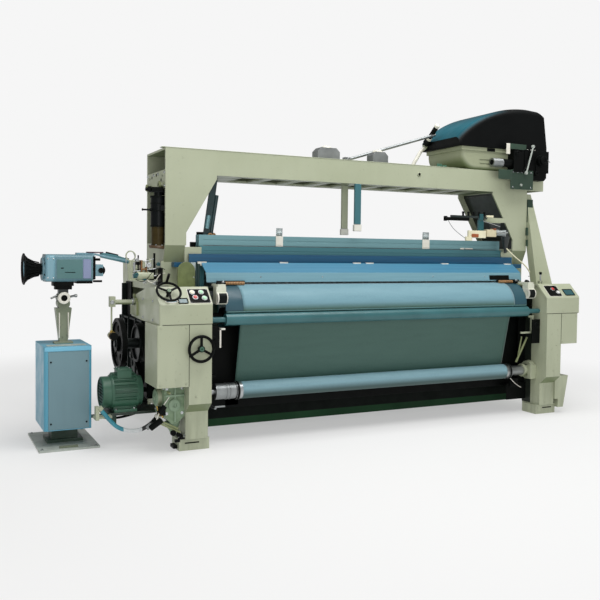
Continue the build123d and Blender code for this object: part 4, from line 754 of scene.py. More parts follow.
def rounded(u0, u1, v0, v1, r, points=5):
    """A rectangle with round corners."""
    loop = []
    for n, (u, v) in enumerate(
        ((u1 - r, v1 - r), (u0 + r, v1 - r), (u0 + r, v0 + r), (u1 - r, v0 + r))
    ):
        angles = (pi / 2 * (n + k / points) for k in range(points + 1))
        loop += [(u + r * cos(a), v + r * sin(a)) for a in angles]
    return loop


def plate(name, outline, holes, place, thickness, finish, body="frame", bevel_mm=0.0):
    """A flat plate: place turns its own u, v and height into loom millimetres."""
    line = bpy.data.curves.new(name, "CURVE")
    line.dimensions = "2D"
    line.fill_mode = "BOTH"
    line.extrude = thickness / 2
    for loop in (outline, *holes):
        spline = line.splines.new("POLY")
        spline.points.add(len(loop) - 1)
        for point, (u, v) in zip(spline.points, loop):
            point.co = (u, v, 0.0, 1.0)
        spline.use_cyclic_u = True
    flat = bpy.data.objects.new(name + "_outline", line)
    mesh = bmesh.new()
    mesh.from_mesh(bpy.data.meshes.new_from_object(flat))
    bpy.data.objects.remove(flat)
    for vertex in mesh.verts:
        u, v, height = vertex.co
        vertex.co = place(u, v, height + thickness / 2)
    return piece(name, mesh, finish, body, bevel_mm)


def facing(x=None, y=None, z=None):
    """Places of a plate that lies square to X, Y or Z, growing towards the weaver or up."""
    if y is not None:
        return lambda u, v, h: (u, y - h, v)
    if x is not None:
        return lambda u, v, h: (x - h, u, v)
    return lambda u, v, h: (u, v, z + h)


# %% [markdown]
# Bolts, screws, pegs and wires repeat by the dozen, so Geometry Nodes place them: a tree
# takes one small unit and either the points of a list or a straight row of a given count
# and step. Afterwards the result becomes one plain mesh, so nothing stays live.
# %% Repeats with Geometry Nodes


def repeater(name, in_row):
    tree = bpy.data.node_groups.new(name, "GeometryNodeTree")
    tree.interface.new_socket("Geometry", in_out="OUTPUT", socket_type="NodeSocketGeometry")
    kinds = {"Geometry": "Geometry", "Unit": "Object", "Finish": "Material"}
    if in_row:
        kinds |= {"Count": "Int", "Start": "Vector", "Step": "Vector"}
    for label, kind in kinds.items():
        tree.interface.new_socket(label, in_out="INPUT", socket_type="NodeSocket" + kind)
    given = add(tree, "NodeGroupInput").outputs
    points = given["Geometry"]
    if in_row:
        line = {"Count": given["Count"], "Start Location": given["Start"], "Offset": given["Step"]}
        points = add(tree, "GeometryNodeMeshLine", line)
    unit = add(tree, "GeometryNodeObjectInfo", {"Object": given["Unit"]}).outputs["Geometry"]
    placed = add(tree, "GeometryNodeInstanceOnPoints", {"Points": points, "Instance": unit})
    solid = add(tree, "GeometryNodeRealizeInstances", {"Geometry": placed})
    finished = add(
        tree, "GeometryNodeSetMaterial", {"Geometry": solid, "Material": given["Finish"]},
    )
    add(tree, "NodeGroupOutput", {"Geometry": finished})
    return tree


ON_POINTS = repeater("one_unit_on_each_point", False)
IN_ROW = repeater("one_unit_in_a_row", True)


def repeated(name, tree, unit, finish, body="frame", spots=(), smooth=40, **sizes):
    """Run a repeater on a unit drawn in millimetres about its own point."""
    bmesh.ops.remove_doubles(unit, verts=unit.verts, dist=0.001)
    bmesh.ops.recalc_face_normals(unit, faces=unit.faces)
    for vertex in unit.verts:
        vertex.co /= 1000
    unit_data = bpy.data.meshes.new(name + "_unit")
    unit.to_mesh(unit_data)
    unit.free()
    carrier_data = bpy.data.meshes.new(name + "_points")
    carrier_data.from_pydata([at(*spot) for spot in spots], [], [])
    made = [bpy.data.objects.new(data.name, data) for data in (unit_data, carrier_data)]
    for each in made:
        bpy.context.scene.collection.objects.link(each)
    nodes_on = made[1].modifiers.new("repeat", "NODES")
    nodes_on.node_group = tree
    values = {"Unit": made[0], "Finish": finish, **sizes}
    for item in tree.interface.items_tree:
        if item.in_out == "INPUT" and item.name in values:
            value = values[item.name]
            nodes_on[item.identifier] = tuple(value) if isinstance(value, Vector) else value
    ready = made[1].evaluated_get(bpy.context.evaluated_depsgraph_get())
    data = bpy.data.meshes.new_from_object(ready)
    for each in made:
        bpy.data.objects.remove(each)
    return dressed(name, data, finish, body, smooth=smooth)


def grid(x, y, z):
    """Every combination of places; each of x, y and z is one number or several."""
    return list(product(*(each if isinstance(each, tuple) else (each,) for each in (x, y, z))))


def hexagon_bolt(axis, radius, height):
    """A washer and a six-sided head, drawn about the point where it sits."""
    mesh = bmesh.new()
    axis = Vector(axis)
    rod(mesh, axis * -0.5, axis * 1.5, radius * 1.35, sides=20)
    rod(mesh, axis * 1.4, axis * (height - 1), radius, sides=6)
    rod(mesh, axis * (height - 1.1), axis * height, radius, radius * 0.8, sides=6)
    return mesh


def socket_screw(axis, radius, height):
    """A round head with a hollow top, drawn about the point where it sits."""
    mesh = bmesh.new()
    profile = [(-0.5, 0), (-0.5, radius), (height - 1, radius), (height, radius - 1)]
    profile += [(height, radius * 0.5), (height * 0.4, radius * 0.5), (height * 0.4, 0)]
    turned(mesh, (0, 0, 0), axis, profile, 16)
    return mesh


def bolts(name, spots, axis, radius, height, finish=ground_steel, body="frame", kind=hexagon_bolt):
    return repeated(name, ON_POINTS, kind(axis, radius, height), finish, body, spots)


def screws(*sizes, **rest):
    return bolts(*sizes, kind=socket_screw, **rest)


# %% [markdown]
# Two cords run from the feeder's side to the loom: a teal water hose, which hangs behind
# the cabinet and climbs to the gear case, and a black cable from the control box to the
# frame. Each is one smooth spline through given points, the same points
# that the engineering source follows, with the radius of the real cord.
# %% Hose and cable
HOSE_RADIUS_MM = 11.0
HOSE_ROUTE = [
    (-1700, -530, 219), (-1657, -530, 163), (-1608, -530, 114), (-1527, -530, 89),
    (-1444.5, -530, 109.5), (-1384.3, -530, 169.7),
]
HOSE_SLEEVES = ((-1.290, "dcdfe0", "cdd2d3"), (-1.190, "1a1e1e", "141717"))  # start along X
CABLE_RADIUS_MM = 7.0
CABLE_ROUTE = [
    (-1719.7, -225, 128), (-1676, -225, 128), (-1625, -240, 118), (-1570, -252, 112),
    (-1500, -256, 120), (-1430, -258, 138), (-1360, -258, 158), (-1294.3, -258, 158),
]


def hose_finish():
    """Teal plastic that turns into a white sleeve and then a black one, by place along X."""
    finish, tree, surface, place = blank("teal_pvc_hose_with_sleeves")
    along = add(tree, "ShaderNodeSeparateXYZ", {"Vector": place}).outputs["X"]
    tone = blend_colour(tree, cloud(tree, place, 30.0), colour("3f8fa0"), colour("347f90"))
    for start, first, second in HOSE_SLEEVES:
        past = add(tree, "ShaderNodeMath", {0: along, 1: start}, operation="GREATER_THAN")
        sleeve = blend_colour(tree, cloud(tree, place, 40.0), colour(first), colour(second))
        tone = blend_colour(tree, past, tone, sleeve)
    feed(surface.inputs["Base Color"], tone)
    rough_between(tree, surface, cloud(tree, place, 25.0), 0.24, 0.4)
    rib = ridges(tree, place, "X", 3.0)
    bumped(tree, surface, rib, 0.2, 0.25)
    return finish


def free_cord(name, route, radius_mm, finish, node, parts=()):
    line = tube_curve(name, route, radius_mm, finish)
    line.data.resolution_u = 16
    line.data.bevel_depth = 1.0
    for point in line.data.splines[0].points:
        point.radius = radius_mm / 1000
    line.data.bevel_resolution = 5
    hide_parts(node)


def hose_fittings():
    """The cuffs on the hose: each is a turned ring that follows the hose's own line."""
    first = bmesh.new()
    turned(first, (-1444.5, -530, 113), (1, 0, 0.72), [
        (-17, 11.3), (-17, 14), (-14, 15), (14, 15), (17, 14), (17, 11.3),
    ])
    band = piece("hose_silver_band", first, cast_silver)
    second = bmesh.new()
    turned(second, (-1411, -530, 140), (1, 0, 0.95), [
        (-16, 11.3), (-16, 14.5), (-4, 16), (16, 16), (18, 14), (18, 11.3),
    ])
    cuff = piece("hose_black_cuff", second, rubber_black)
    third = bmesh.new()
    profile = [
        (-24, 0), (-24, 15), (-18, 17), (-6, 17), (-6, 14), (8, 14), (8, 17), (18, 17), (22, 13),
        (22, 0),
    ]
    turned(third, (-1388, -530, 172), (0.75, 0, 1), profile)
    nut = piece("hose_cream_fitting", third, nylon)
    return band, cuff, nut


free_cord(
    "water_hose_line", HOSE_ROUTE, HOSE_RADIUS_MM, hose_finish(), "water_hose",
    hose_fittings(),
)
free_cord(
    "feeder_cable_line", CABLE_ROUTE, CABLE_RADIUS_MM, rubber_black, "feeder_cable",
)
relief = bmesh.new()
turned(relief, (-1720, -225, 128), TO_RIGHT, [
    (-1, 7.2), (-1, 15), (6, 15), (8, 11), (34, 8.4), (36, 7.2),
])
piece("cable_strain_relief", relief, rubber_black)
print("hose and cable laid on", len(HOSE_ROUTE), "and", len(CABLE_ROUTE), "points")

# %% [markdown]
# The cloth leaves the reed at the fell, bends over the quarter-round breast beam, passes
# behind the press roller and is wound on the cloth roll. It is a stretched sheet, so its
# line in the side view is made of tangents and arcs. Each circle has a signed radius: the
# sheet goes clockwise round a positive one and the other way round a negative one.
# %% The line of a stretched sheet
ARC_STEP_MM = 9.0
STRAIGHT_STEP_MM = 24


def sheet_line(circles):
    """Points in Y and Z along tangents and arcs of circles (y, z, signed radius)."""
    angles = []
    for (y1, z1, r1), (y2, z2, r2) in zip(circles, circles[1:]):
        way = atan2(z2 - z1, y2 - y1)
        share = (r1 - r2) / hypot(y2 - y1, z2 - z1)
        angles.append(way + acos(max(-1.0, min(1.0, share))))
    points = []
    for n, (y, z, r) in enumerate(circles):
        first = angles[max(n - 1, 0)]
        last = angles[min(n, len(angles) - 1)]
        sweep = (first - last) % (2 * pi) if r > 0 else -((last - first) % (2 * pi))
        count = max(1, int(abs(r * sweep) / ARC_STEP_MM)) if r else 0
        for k in range(count + 1):
            a = first - sweep * k / max(count, 1)
            points.append((y + r * cos(a), z + r * sin(a)))
    line = [points[0]]
    for y, z in points[1:]:
        far = hypot(y - line[-1][0], z - line[-1][1])
        if far < 0.01:
            continue
        y0, z0 = line[-1]
        parts = max(1, round(far / STRAIGHT_STEP_MM))
        line += [
            (y0 + (y - y0) * k / parts, z0 + (z - z0) * k / parts) for k in range(1, parts + 1)
        ]
    return line


def sheet_mesh(name, line, half_mm, columns, finish, ripple):
    """A grid on the line; its UV map is the flat sheet in metres."""
    mesh = bmesh.new()
    flat = mesh.loops.layers.uv.new("flat")
    along = [0.0]
    for (y0, z0), (y1, z1) in zip(line, line[1:]):
        along.append(along[-1] + hypot(y1 - y0, z1 - z0))
    rows = []
    for n, (y, z) in enumerate(line):
        y0, z0 = line[max(n - 1, 0)]
        y1, z1 = line[min(n + 1, len(line) - 1)]
        length = hypot(y1 - y0, z1 - z0)
        out_y, out_z = (z0 - z1) / length, (y1 - y0) / length
        row = []
        for k in range(columns + 1):
            x = -half_mm + 2 * half_mm * k / columns
            lift = ripple(x, along[n], k)
            row.append(mesh.verts.new(at(x, y + out_y * lift, z + out_z * lift)))
        rows.append(row)
    for n, (first, second) in enumerate(zip(rows, rows[1:])):
        for k in range(columns):
            face = mesh.faces.new((first[k], first[k + 1], second[k + 1], second[k]))
            spots = ((k, n), (k + 1, n), (k + 1, n + 1), (k, n + 1))
            for loop, (i, j) in zip(face.loops, spots):
                loop[flat].uv = (2 * half_mm * i / columns / 1000, along[j] / 1000)
    data = bpy.data.meshes.new(name)
    mesh.to_mesh(data)
    mesh.free()
    return dressed(name, data, finish, smooth=60), along[-1] / 1000


def give_wall(made, thickness_m):
    """A wall half on each side of the drawn face."""
    wall = made.modifiers.new("thickness", "SOLIDIFY")
    wall.thickness, wall.offset = thickness_m, 0.0


# %% Cloth over the breast beam
CLOTH_HALF = 960.0
ROLL_Y, ROLL_Z = -607, 290
ROLL = (0, ROLL_Y, ROLL_Z)
CLOTH_CIRCLES = [
    (-484, 880.9, 0), (-546, 740, -140.9), (-681.9, 740, -5), (-681.5, 695, 33.4),
    (ROLL_Y, ROLL_Z, 48.9),
]
CLOTH_THICK_M = 0.001
CLOTH_WAVE_MM = 0.8
FREE_FROM_MM, FREE_TO_MM = 330, 740  # the hanging stretch, along the cloth from the fell


def cloth_wave(x, along, column):
    """The hanging length breathes a little between its tight and slack bands."""
    begun = max(0.0, min(1.0, (along - FREE_FROM_MM) / 120))
    left = max(0.0, min(1.0, (FREE_TO_MM - along) / 100))
    return CLOTH_WAVE_MM * (begun * left) * (sin(x / 130) + 0.6 * sin(x / 47 + along / 210))


cloth_line = sheet_line(CLOTH_CIRCLES)
cloth_piece, cloth_length = sheet_mesh("cloth", cloth_line, CLOTH_HALF, 96, loom_cloth, cloth_wave)
give_wall(cloth_piece, CLOTH_THICK_M)
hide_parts("fabric")
print(
    "cloth", round(cloth_length, 3), "m long,", len(cloth_line), "rows", cloth_line[0],
    cloth_line[-1],
)

# %% [markdown]
# The warp comes off its beam behind the loom, goes round the back roller and runs forward
# to the heald frames. Here the threads do show, as fine ridges, so the grid itself is
# ribbed across the width.
# %% Warp sheet and yarn package
BEAM_Y, BEAM_Z = 520, 470
WARP_CIRCLES = [(BEAM_Y, BEAM_Z, -301.05), (640, 930, -61.05), (-484, 881.2, 0)]
WARP_RIB_MM = 0.45
WARP_THICK_M = 0.0008
WARP_END_Y = -240.0


def warp_rib(x, along, column):
    return WARP_RIB_MM if column % 2 else -WARP_RIB_MM


def cut_at(line, y_end):
    kept = [line[0]]
    for (y0, z0), (y1, z1) in zip(line, line[1:]):
        if y1 < y_end <= y0:
            share = (y0 - y_end) / (y0 - y1)
            kept.append((y_end, z0 + share * (z1 - z0)))
            break
        kept.append((y1, z1))
    return kept


warp_line = cut_at(sheet_line(WARP_CIRCLES), WARP_END_Y)
warp_piece, warp_length = sheet_mesh("warp", warp_line, CLOTH_HALF, 384, warp_finish, warp_rib)
give_wall(warp_piece, WARP_THICK_M)
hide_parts("warp_sheet")
print("warp", round(warp_length, 3), "m long", warp_line[0], warp_line[-1])

YARN_RADIUS = 299.4
YARN_HALF = 979.0
YARN_CORE_RADIUS = 76.0
YARN_GROOVES = 244
package = bmesh.new()
profile = [(-YARN_HALF, YARN_CORE_RADIUS)]
for k in range(YARN_GROOVES + 1):
    x = -YARN_HALF + 2 * YARN_HALF * k / YARN_GROOVES
    end_fall = 5.0 * max(0.0, 1 - (YARN_HALF - abs(x)) / 14) ** 2
    groove = 0.9 if k % 2 else 0.0
    profile.append((x, YARN_RADIUS - end_fall - groove - 0.5 * (1 + sin(x / 61))))
profile.append((YARN_HALF, YARN_CORE_RADIUS))
turned(package, (0, BEAM_Y, BEAM_Z), TO_RIGHT, profile, 96)
yarn_package = piece("yarn_on_warp_beam", package, warp_finish, "warp_beam", smooth=60)
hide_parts("warp_yarn")

# %% [markdown]
# From the end of that sheet each thread goes alone: through the eye of a wire heald in
# one of four frames, through a gap of the reed and on to the fell. The frames lift and
# lower their healds, so a thread is stretched between the loom's frame and its heald.
# %% Threads, healds and reed wires
GAPS = 60
GAP_STEP = 32.667
FIRST_GAP = -980 + GAP_STEP / 2
THREAD_IN_GAP = (-7.5, -2.5, 2.5, 7.5)
WARP_END_Z = warp_line[-1][1]
FELL = (-484.0, 881.6)
REED_Y, REED_Z, REED_HALF = -418, 913.5, 37.5
THREAD_R = 0.9
EYE_BELOW_TOP = 222.0
FRAME_TOPS = (1098.0, 1162.0, 1098.0, 1162.0)
FRAME_HEIGHT = 520
RAIL_HEIGHT = 55
FIRST_FRAME_Y, FRAME_STEP_Y = -366, 22
BROAD_HEALD_END = 1080
BROAD_HEALD_STEP = 2 * BROAD_HEALD_END / 25
BROAD_HEALD_ROOM = 8.5


def clear_of_broad_healds(x):
    """Whether a thread misses the frame's own broad healds."""
    nearest = round((x + BROAD_HEALD_END) / BROAD_HEALD_STEP) * BROAD_HEALD_STEP - BROAD_HEALD_END
    return abs(x - nearest) > BROAD_HEALD_ROOM


def thread(mesh, start, end, radius=THREAD_R):
    """A three-sided strand with vertices only at its ends."""
    start, end = Vector(start), Vector(end)
    rings = []
    for spot in (start, end):
        corners = [Vector((radius * cos(a), 0, radius * sin(a))) for a in (0.5, 2.6, 4.7)]
        rings.append([mesh.verts.new(spot + corner) for corner in corners])
    for k in range(3):
        mesh.faces.new((rings[0][k], rings[0][(k + 1) % 3], rings[1][(k + 1) % 3], rings[1][k]))
    for ring in rings:
        mesh.faces.new(ring)


for n, offset in enumerate(THREAD_IN_GAP):
    frame_y = FIRST_FRAME_Y + FRAME_STEP_Y * n
    eye_z = FRAME_TOPS[n] - EYE_BELOW_TOP
    across = [FIRST_GAP + GAP_STEP * gap + offset for gap in range(GAPS)]
    across = [x for x in across if clear_of_broad_healds(x)]
    body = f"heald_frame_{n + 1}"
    behind, before = bmesh.new(), bmesh.new()
    for x in across:
        thread(behind, (x, WARP_END_Y, WARP_END_Z), (x, frame_y, eye_z))
        thread(before, (x, FELL[0], FELL[1]), (x, frame_y, eye_z))
    for label, mesh, start in (("rear", behind, (WARP_END_Y, WARP_END_Z)), ("front", before, FELL)):
        strands = piece(f"threads_{label}_{n + 1}", mesh, warp_finish, None, smooth=80)
        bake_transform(strands)
    wire = bmesh.new()
    low = FRAME_TOPS[n] - FRAME_HEIGHT + RAIL_HEIGHT - eye_z
    high = FRAME_TOPS[n] - RAIL_HEIGHT - eye_z
    block(wire, -0.6, 0.6, -0.5, 0.5, low, -7)
    block(wire, -0.6, 0.6, -0.5, 0.5, 7, high)
    for side in (-1, 1):
        block(wire, side * 2.2 - 0.5, side * 2.2 + 0.5, -0.5, 0.5, -8, 8)
    spots = [(x, frame_y, eye_z) for x in across]
    repeated(f"wire_healds_{n + 1}", ON_POINTS, wire, heald_steel, body, spots)

reed_wires = bmesh.new()
for x in (-5.0, 0.0, 5.0):
    block(reed_wires, x - 0.5, x + 0.5, -3, 3, -REED_HALF, REED_HALF)
start = at(FIRST_GAP, REED_Y, REED_Z)
step = (GAP_STEP / 1000, 0, 0)
repeated("reed_wires", IN_ROW, reed_wires, heald_steel, "sley", Count=GAPS, Start=start, Step=step)
print("threads in", len(THREAD_IN_GAP), "heald frames")

# %% [markdown]
# On the roll the cloth is wound between two black collars. Its layers end almost flush,
# with a slightly uneven edge, and the tube's bare ends stick out beyond the collars.
# %% Wound cloth and collars
WOUND_HALF, WOUND_RADIUS, WOUND_ROWS = 957, 48.25, 60
wound = bmesh.new()
profile = [(-958.5, 20.0), (-958.5, 44.0), (-WOUND_HALF, 47.6)]
for k in range(1, WOUND_ROWS):
    x = -WOUND_HALF + 2 * WOUND_HALF * k / WOUND_ROWS
    profile.append((x, WOUND_RADIUS + 0.12 * sin(k * 1.7)))
profile += [(WOUND_HALF, 47.6), (958.5, 44.0), (958.5, 20.0)]
turned(wound, ROLL, TO_RIGHT, profile, 64)
piece("wound_cloth", wound, rolled_cloth, "cloth_roll", smooth=60)
collars, bare = bmesh.new(), bmesh.new()
for side in (-1, 1):
    edge = [(960, 30), (960, 50.5), (962, 52.4), (976, 52.4), (978.4, 50), (978.4, 30)]
    turned(collars, ROLL, (side, 0, 0), edge, 56)
turned(
    bare, ROLL, TO_LEFT, [(977.5, 30), (977.5, 44.3), (1094, 44.3), (1098.5, 40), (1098.5, 16)], 56,
)
turned(
    bare, ROLL, TO_RIGHT, [(977.5, 20), (977.5, 31.8), (1096, 31.8), (1098.5, 29), (1098.5, 16)],
    48,
)
for x in (1010, 1030):
    turned(bare, ROLL, TO_LEFT, [(x, 44), (x + 1, 46.5), (x + 7, 46.5), (x + 8, 44)], 56)
piece("roll_collars", collars, rubber_black, "cloth_roll")
piece("roll_bare_ends", bare, cast_silver, "cloth_roll")

# %% [markdown]
# The desks at both ends slope towards the weaver. Their panels, bezels and displays are
# thin plates laid on that slope, so one function gives a point by its place across, its
# place up the slope from the middle and its height above the paint.
# %% Desk panels
SLOPE_MIDDLE = (-719.0, 829.5)
SLOPE_ANGLE = atan2(91.0, 92.0)
FRAME_OUT = 1294.0
COVER_BOTTOMS = {-1: 356, 1: 477}


def on_slope(x, up, lift):
    c, s = cos(SLOPE_ANGLE), sin(SLOPE_ANGLE)
    return (x, SLOPE_MIDDLE[0] + up * c - lift * s, SLOPE_MIDDLE[1] + up * s + lift * c)


def laid(u, v, height):
    return on_slope(u, v, height + 0.1)


LEFT_BUTTONS = [(-1262, 22), (-1252, -14), (-1212, 22), (-1202, -20)]
RIGHT_BUTTONS = [(1262, 14), (1290, -16)]
slope_out = Vector(on_slope(0, 0, 1)) - Vector(on_slope(0, 0, 0))
PANELS = [
    ("panel_border_left", (-1288, -1170, -55, 48), 1.0, nylon),
    ("panel_black_left", (-1285, -1173, -52, 45), 2.0, black_enamel),
    ("panel_border_right", (1198, 1312, -51, 48), 1.0, nylon),
    ("panel_black_right", (1201, 1309, -48, 45), 2.0, black_enamel),
]
for name, (u0, u1, v0, v1), thick, finish in PANELS:
    holes = [circle(x, up, 12.6) for x, up in (LEFT_BUTTONS if u0 < 0 else RIGHT_BUTTONS)]
    plate(name, rounded(u0, u1, v0, v1, 4), holes, laid, thick, finish)
bezels = bmesh.new()
for x, up in LEFT_BUTTONS + RIGHT_BUTTONS:
    ring = [(1.5, 12.2), (1.5, 16.0), (3.5, 16.0), (5.0, 14.5), (5.0, 12.4), (1.5, 12.2)]
    turned(bezels, on_slope(x, up, 0), slope_out, ring, 32)
piece("button_bezels", bezels, steel)

DISPLAYS = [("display_left", (-1350, -1296, -56, -18)), ("display_right", (1342, 1428, -44, 12))]
for name, (u0, u1, v0, v1) in DISPLAYS:
    window = rounded(u0 + 5, u1 - 5, v0 + 5, v1 - 5, 2)
    plate(
        name + "_frame", rounded(u0, u1, v0, v1, 5), [window], laid, 3.5, knob_black, bevel_mm=0.5,
    )
    plate(name + "_glass", window, [], laid, 1.6, glass_teal)

oval, inner = ellipse(-1384, -40, 36, 11), ellipse(-1384, -40, 30, 7)
plate("oval_ring_left", oval, [inner], laid, 2.2, nylon)
plate("oval_inset_left", inner, [], laid, 1.2, glass_teal)
corner_screws = [on_slope(x, up, 2.0) for x in (-1279, -1179) for up in (-47, 40)]
corner_screws += [on_slope(x, up, 2.0) for x in (1207, 1303) for up in (-43, 40)]
screws("panel_screws", corner_screws, slope_out, 2.6, 1.8)

# %% [markdown]
# Sheet covers meet the castings in narrow dark gaps. Each gap is a thin gasket strip that
# stands slightly proud, and the screws that hold the covers sit near the corners.
# %% Gaskets and cover screws


def span(side, inner, outer):
    """Both ends of a stretch on one side of the loom, in rising order."""
    return sorted((side * inner, side * outer))


gaskets = bmesh.new()
for side in (-1, 1):
    edge = side * FRAME_OUT
    block(gaskets, edge - 1.2, edge + 1.2, -766, -521, COVER_BOTTOMS[side], 680)
    block(gaskets, *span(side, 1166, 1438), -766, -764, 679.6, 682.4)
    block(gaskets, *span(side, 1400, 1438), -765, -522, 679.6, 682.4)
piece("cover_gaskets", gaskets, rubber_black)
cover_screws = [(-1448, -765, 664), (-1448, -765, 372), (-1310, -765, 664), (-1310, -765, 372)]
cover_screws += [(1424, -765, 664), (1424, -765, 492), (1310, -765, 664), (1310, -765, 492)]
cover_screws += [(1255, -765, 470), (1308, -765, 700), (-1255, -765, 300), (1232, -765, 300)]
screws("cover_screws", cover_screws, TO_FRONT, 5.0, 2.5, beige)
side_screws = grid(-1465, (-745, -540), (664, 372))
screws("cover_side_screws_left", side_screws, TO_LEFT, 5.0, 2.5, beige)
side_screws = grid(1440, (-745, -540), (664, 492))
screws("cover_side_screws_right", side_screws, TO_RIGHT, 5.0, 2.5, beige)
foot_slots = bmesh.new()
for side in (-1, 1):
    block(foot_slots, *span(side, 1212, 1292), -691.6, -690.5, 37, 44)
piece("foot_slots", foot_slots, black_enamel)
feet_nuts = [(side * 1308.5, y, 75.5) for side in (-1, 1) for y in (-665, -586, 515, 594)]
bolts("levelling_nuts", feet_nuts, UPRIGHT, 12.5, 10, steel)

# %% [markdown]
# The guards over the sley are held by white folded clips along their top edge. A bare
# dark plate sits where a maker would put a name, and it stays bare here.
# %% Guard clips and bare plate
clips = bmesh.new()
for x in (-1116, -607, -106, -13, 565, 1092):
    block(clips, x - 34, x + 20, -464, -460.5, 995, 1007)
    block(clips, x - 34, x + 20, -464, -452, 1005, 1007.5)
    block(clips, x - 18, x + 12, -466, -461, 984, 998)
piece("guard_clips", clips, nylon, bevel_mm=0.6)


def on_guard(u, v, height):
    """The guard's lower face leans back 11 mm over its 54 mm."""
    share = (v - 893) / 54
    return (u, -555.6 + 11 * share - height, v)


plate("bare_plate", rounded(856, 1022, 900, 930, 3), [], on_guard, 1.6, black_enamel, bevel_mm=0.3)
guard_screws = grid((-1200, -800, -400, 400, 820, 1200), -548.6, 922)
screws("guard_screws", guard_screws, (0, -1, 0.2), 4.0, 2.5)
ledge = bmesh.new()
block(ledge, -1058, 1058, -690.5, -681, 733, 739.4)
block(ledge, -1058, 1058, -684, -640, 731, 734)
piece("ledge_under_breast_beam", ledge, head_panel, bevel_mm=1.0)

# %% [markdown]
# A temple holds the cloth's edge out to its full width. Its ringed roller runs in a black
# carrier, and the pale casting beside it is hollow round the clamping knob.
# %% Temples
ROUND_Y, ROUND_Z, ROUND_RADIUS = -546, 740, 140
TEMPLE_Y = -578
TEMPLE_Z = ROUND_Z + sqrt(ROUND_RADIUS**2 - (TEMPLE_Y - ROUND_Y) ** 2) + 11.8
RING_START, RING_STEP, RING_COUNT = 914, 9.5, 12
for side in (-1, 1):
    label = "left" if side < 0 else "right"
    rings = bmesh.new()
    profile = [(RING_START, 3)]
    for k in range(RING_COUNT):
        x = RING_START + k * RING_STEP
        profile += [(x, 8.4), (x + 1.5, 9.5), (x + 7.0, 9.5), (x + 8.5, 8.4)]
    profile.append((RING_START + RING_COUNT * RING_STEP, 3))
    turned(rings, (0, TEMPLE_Y, TEMPLE_Z), (side, 0, 0), profile, 28)
    piece(f"temple_rings_{label}", rings, tan)
    castings = bmesh.new()
    turned(castings, (side * 1063, -680, 812), (-side, 0, 0), [
        (-2, 33), (0, 34.6), (3, 34.6), (3, 22), (-6, 22), (-6, 0),
    ], 40)
    turned(castings, (side * 1113, -680, 812), (side, 0, 0), [
        (-3, 34), (1, 34.6), (5, 33), (5, 20), (-8, 20), (-8, 12), (4, 12), (4, 0),
    ], 40)
    piece(f"temple_casting_rings_{label}", castings, nylon)
    knob = bmesh.new()
    turned(knob, (side * 1092, -640, 868), (0, -0.5, 1), [
        (-4, 0), (-4, 8), (10, 8), (12, 15), (16, 17), (30, 16), (33, 12), (33, 0),
    ], 10)
    piece(f"temple_knob_{label}", knob, knob_black, bevel_mm=0.8)
    clamp = bmesh.new()
    turned(
        clamp, (side * 1045, -592, TEMPLE_Z + 8), TO_FRONT,
        [(-1, 0), (-1, 7), (6, 7), (8, 5), (8, 0)], 12,
    )
    turned(clamp, (side * 1052, -592, TEMPLE_Z + 8), TO_FRONT, drum(4, -1, 11), 12)
    piece(f"temple_clamp_{label}", clamp, steel)

# %% [markdown]
# Small white tags hang on the raised heald frame, each with a limp clear flag above it.
# %% Tags on the second heald frame
tags, flags = bmesh.new(), bmesh.new()
for x0, x1 in ((-618, -570), (452, 510)):
    block(tags, x0, x1, -352.2, -350.2, 1100, 1161)
    block(tags, x0 + 6, x1 - 6, -353.0, -352.0, 1108, 1118)
    block(tags, x0, x1, -352.2, -343, 1160.5, 1163)
    for k in range(6):
        u0, u1 = (x0 + 3 + (x1 - x0 - 6) * j / 6 for j in (k, k + 1))
        bend0, bend1 = 2.5 * sin(k * 1.1), 2.5 * sin((k + 1) * 1.1)
        below = [(u0, -347 + bend0, 1162), (u1, -347 + bend1, 1162)]
        above = [(u1 + 2, -345 + bend1, 1212), (u0 + 2, -345 + bend0, 1212)]
        flags.faces.new([flags.verts.new(c) for c in below + above])
piece("heald_tags", tags, nylon, "heald_frame_2", bevel_mm=0.4)
flag_piece = piece("heald_flags", flags, clear_film, "heald_frame_2")
give_wall(flag_piece, 0.0006)

# %% [markdown]
# Much of a loom is small gear: brackets, pins, caps and pipes. Each group below is one
# piece made of soft-edged bars and turned shapes, listed by size and place.
# %% Groups of small gear


def gear(name, finish, bars=(), rods=(), turns=(), body="frame", bevel_mm=1.0):
    """One piece from boxes, round bars (start, end, radius) and turned shapes."""
    mesh = bmesh.new()
    for sizes in bars:
        block(mesh, *sizes)
    for start, end, radius in rods:
        rod(mesh, start, end, radius)
    for centre, axis, profile in turns:
        turned(mesh, centre, axis, profile, 32)
    return piece(name, mesh, finish, body, bevel_mm)


def boss(radius, height, hole=0.4):
    """A cast boss with a rounded edge and a hollow centre."""
    inner = radius * hole
    wall = [(-2, 0), (-2, radius), (height - 2, radius), (height, radius - 2)]
    return wall + [(height, inner), (height - 5, inner), (height - 5, 0)]


def dome(radius, height):
    steps = [(height * sin(a * pi / 12), radius * cos(a * pi / 12)) for a in range(6)]
    return [(-1, 0), (-1, radius)] + steps + [(height, 0)]


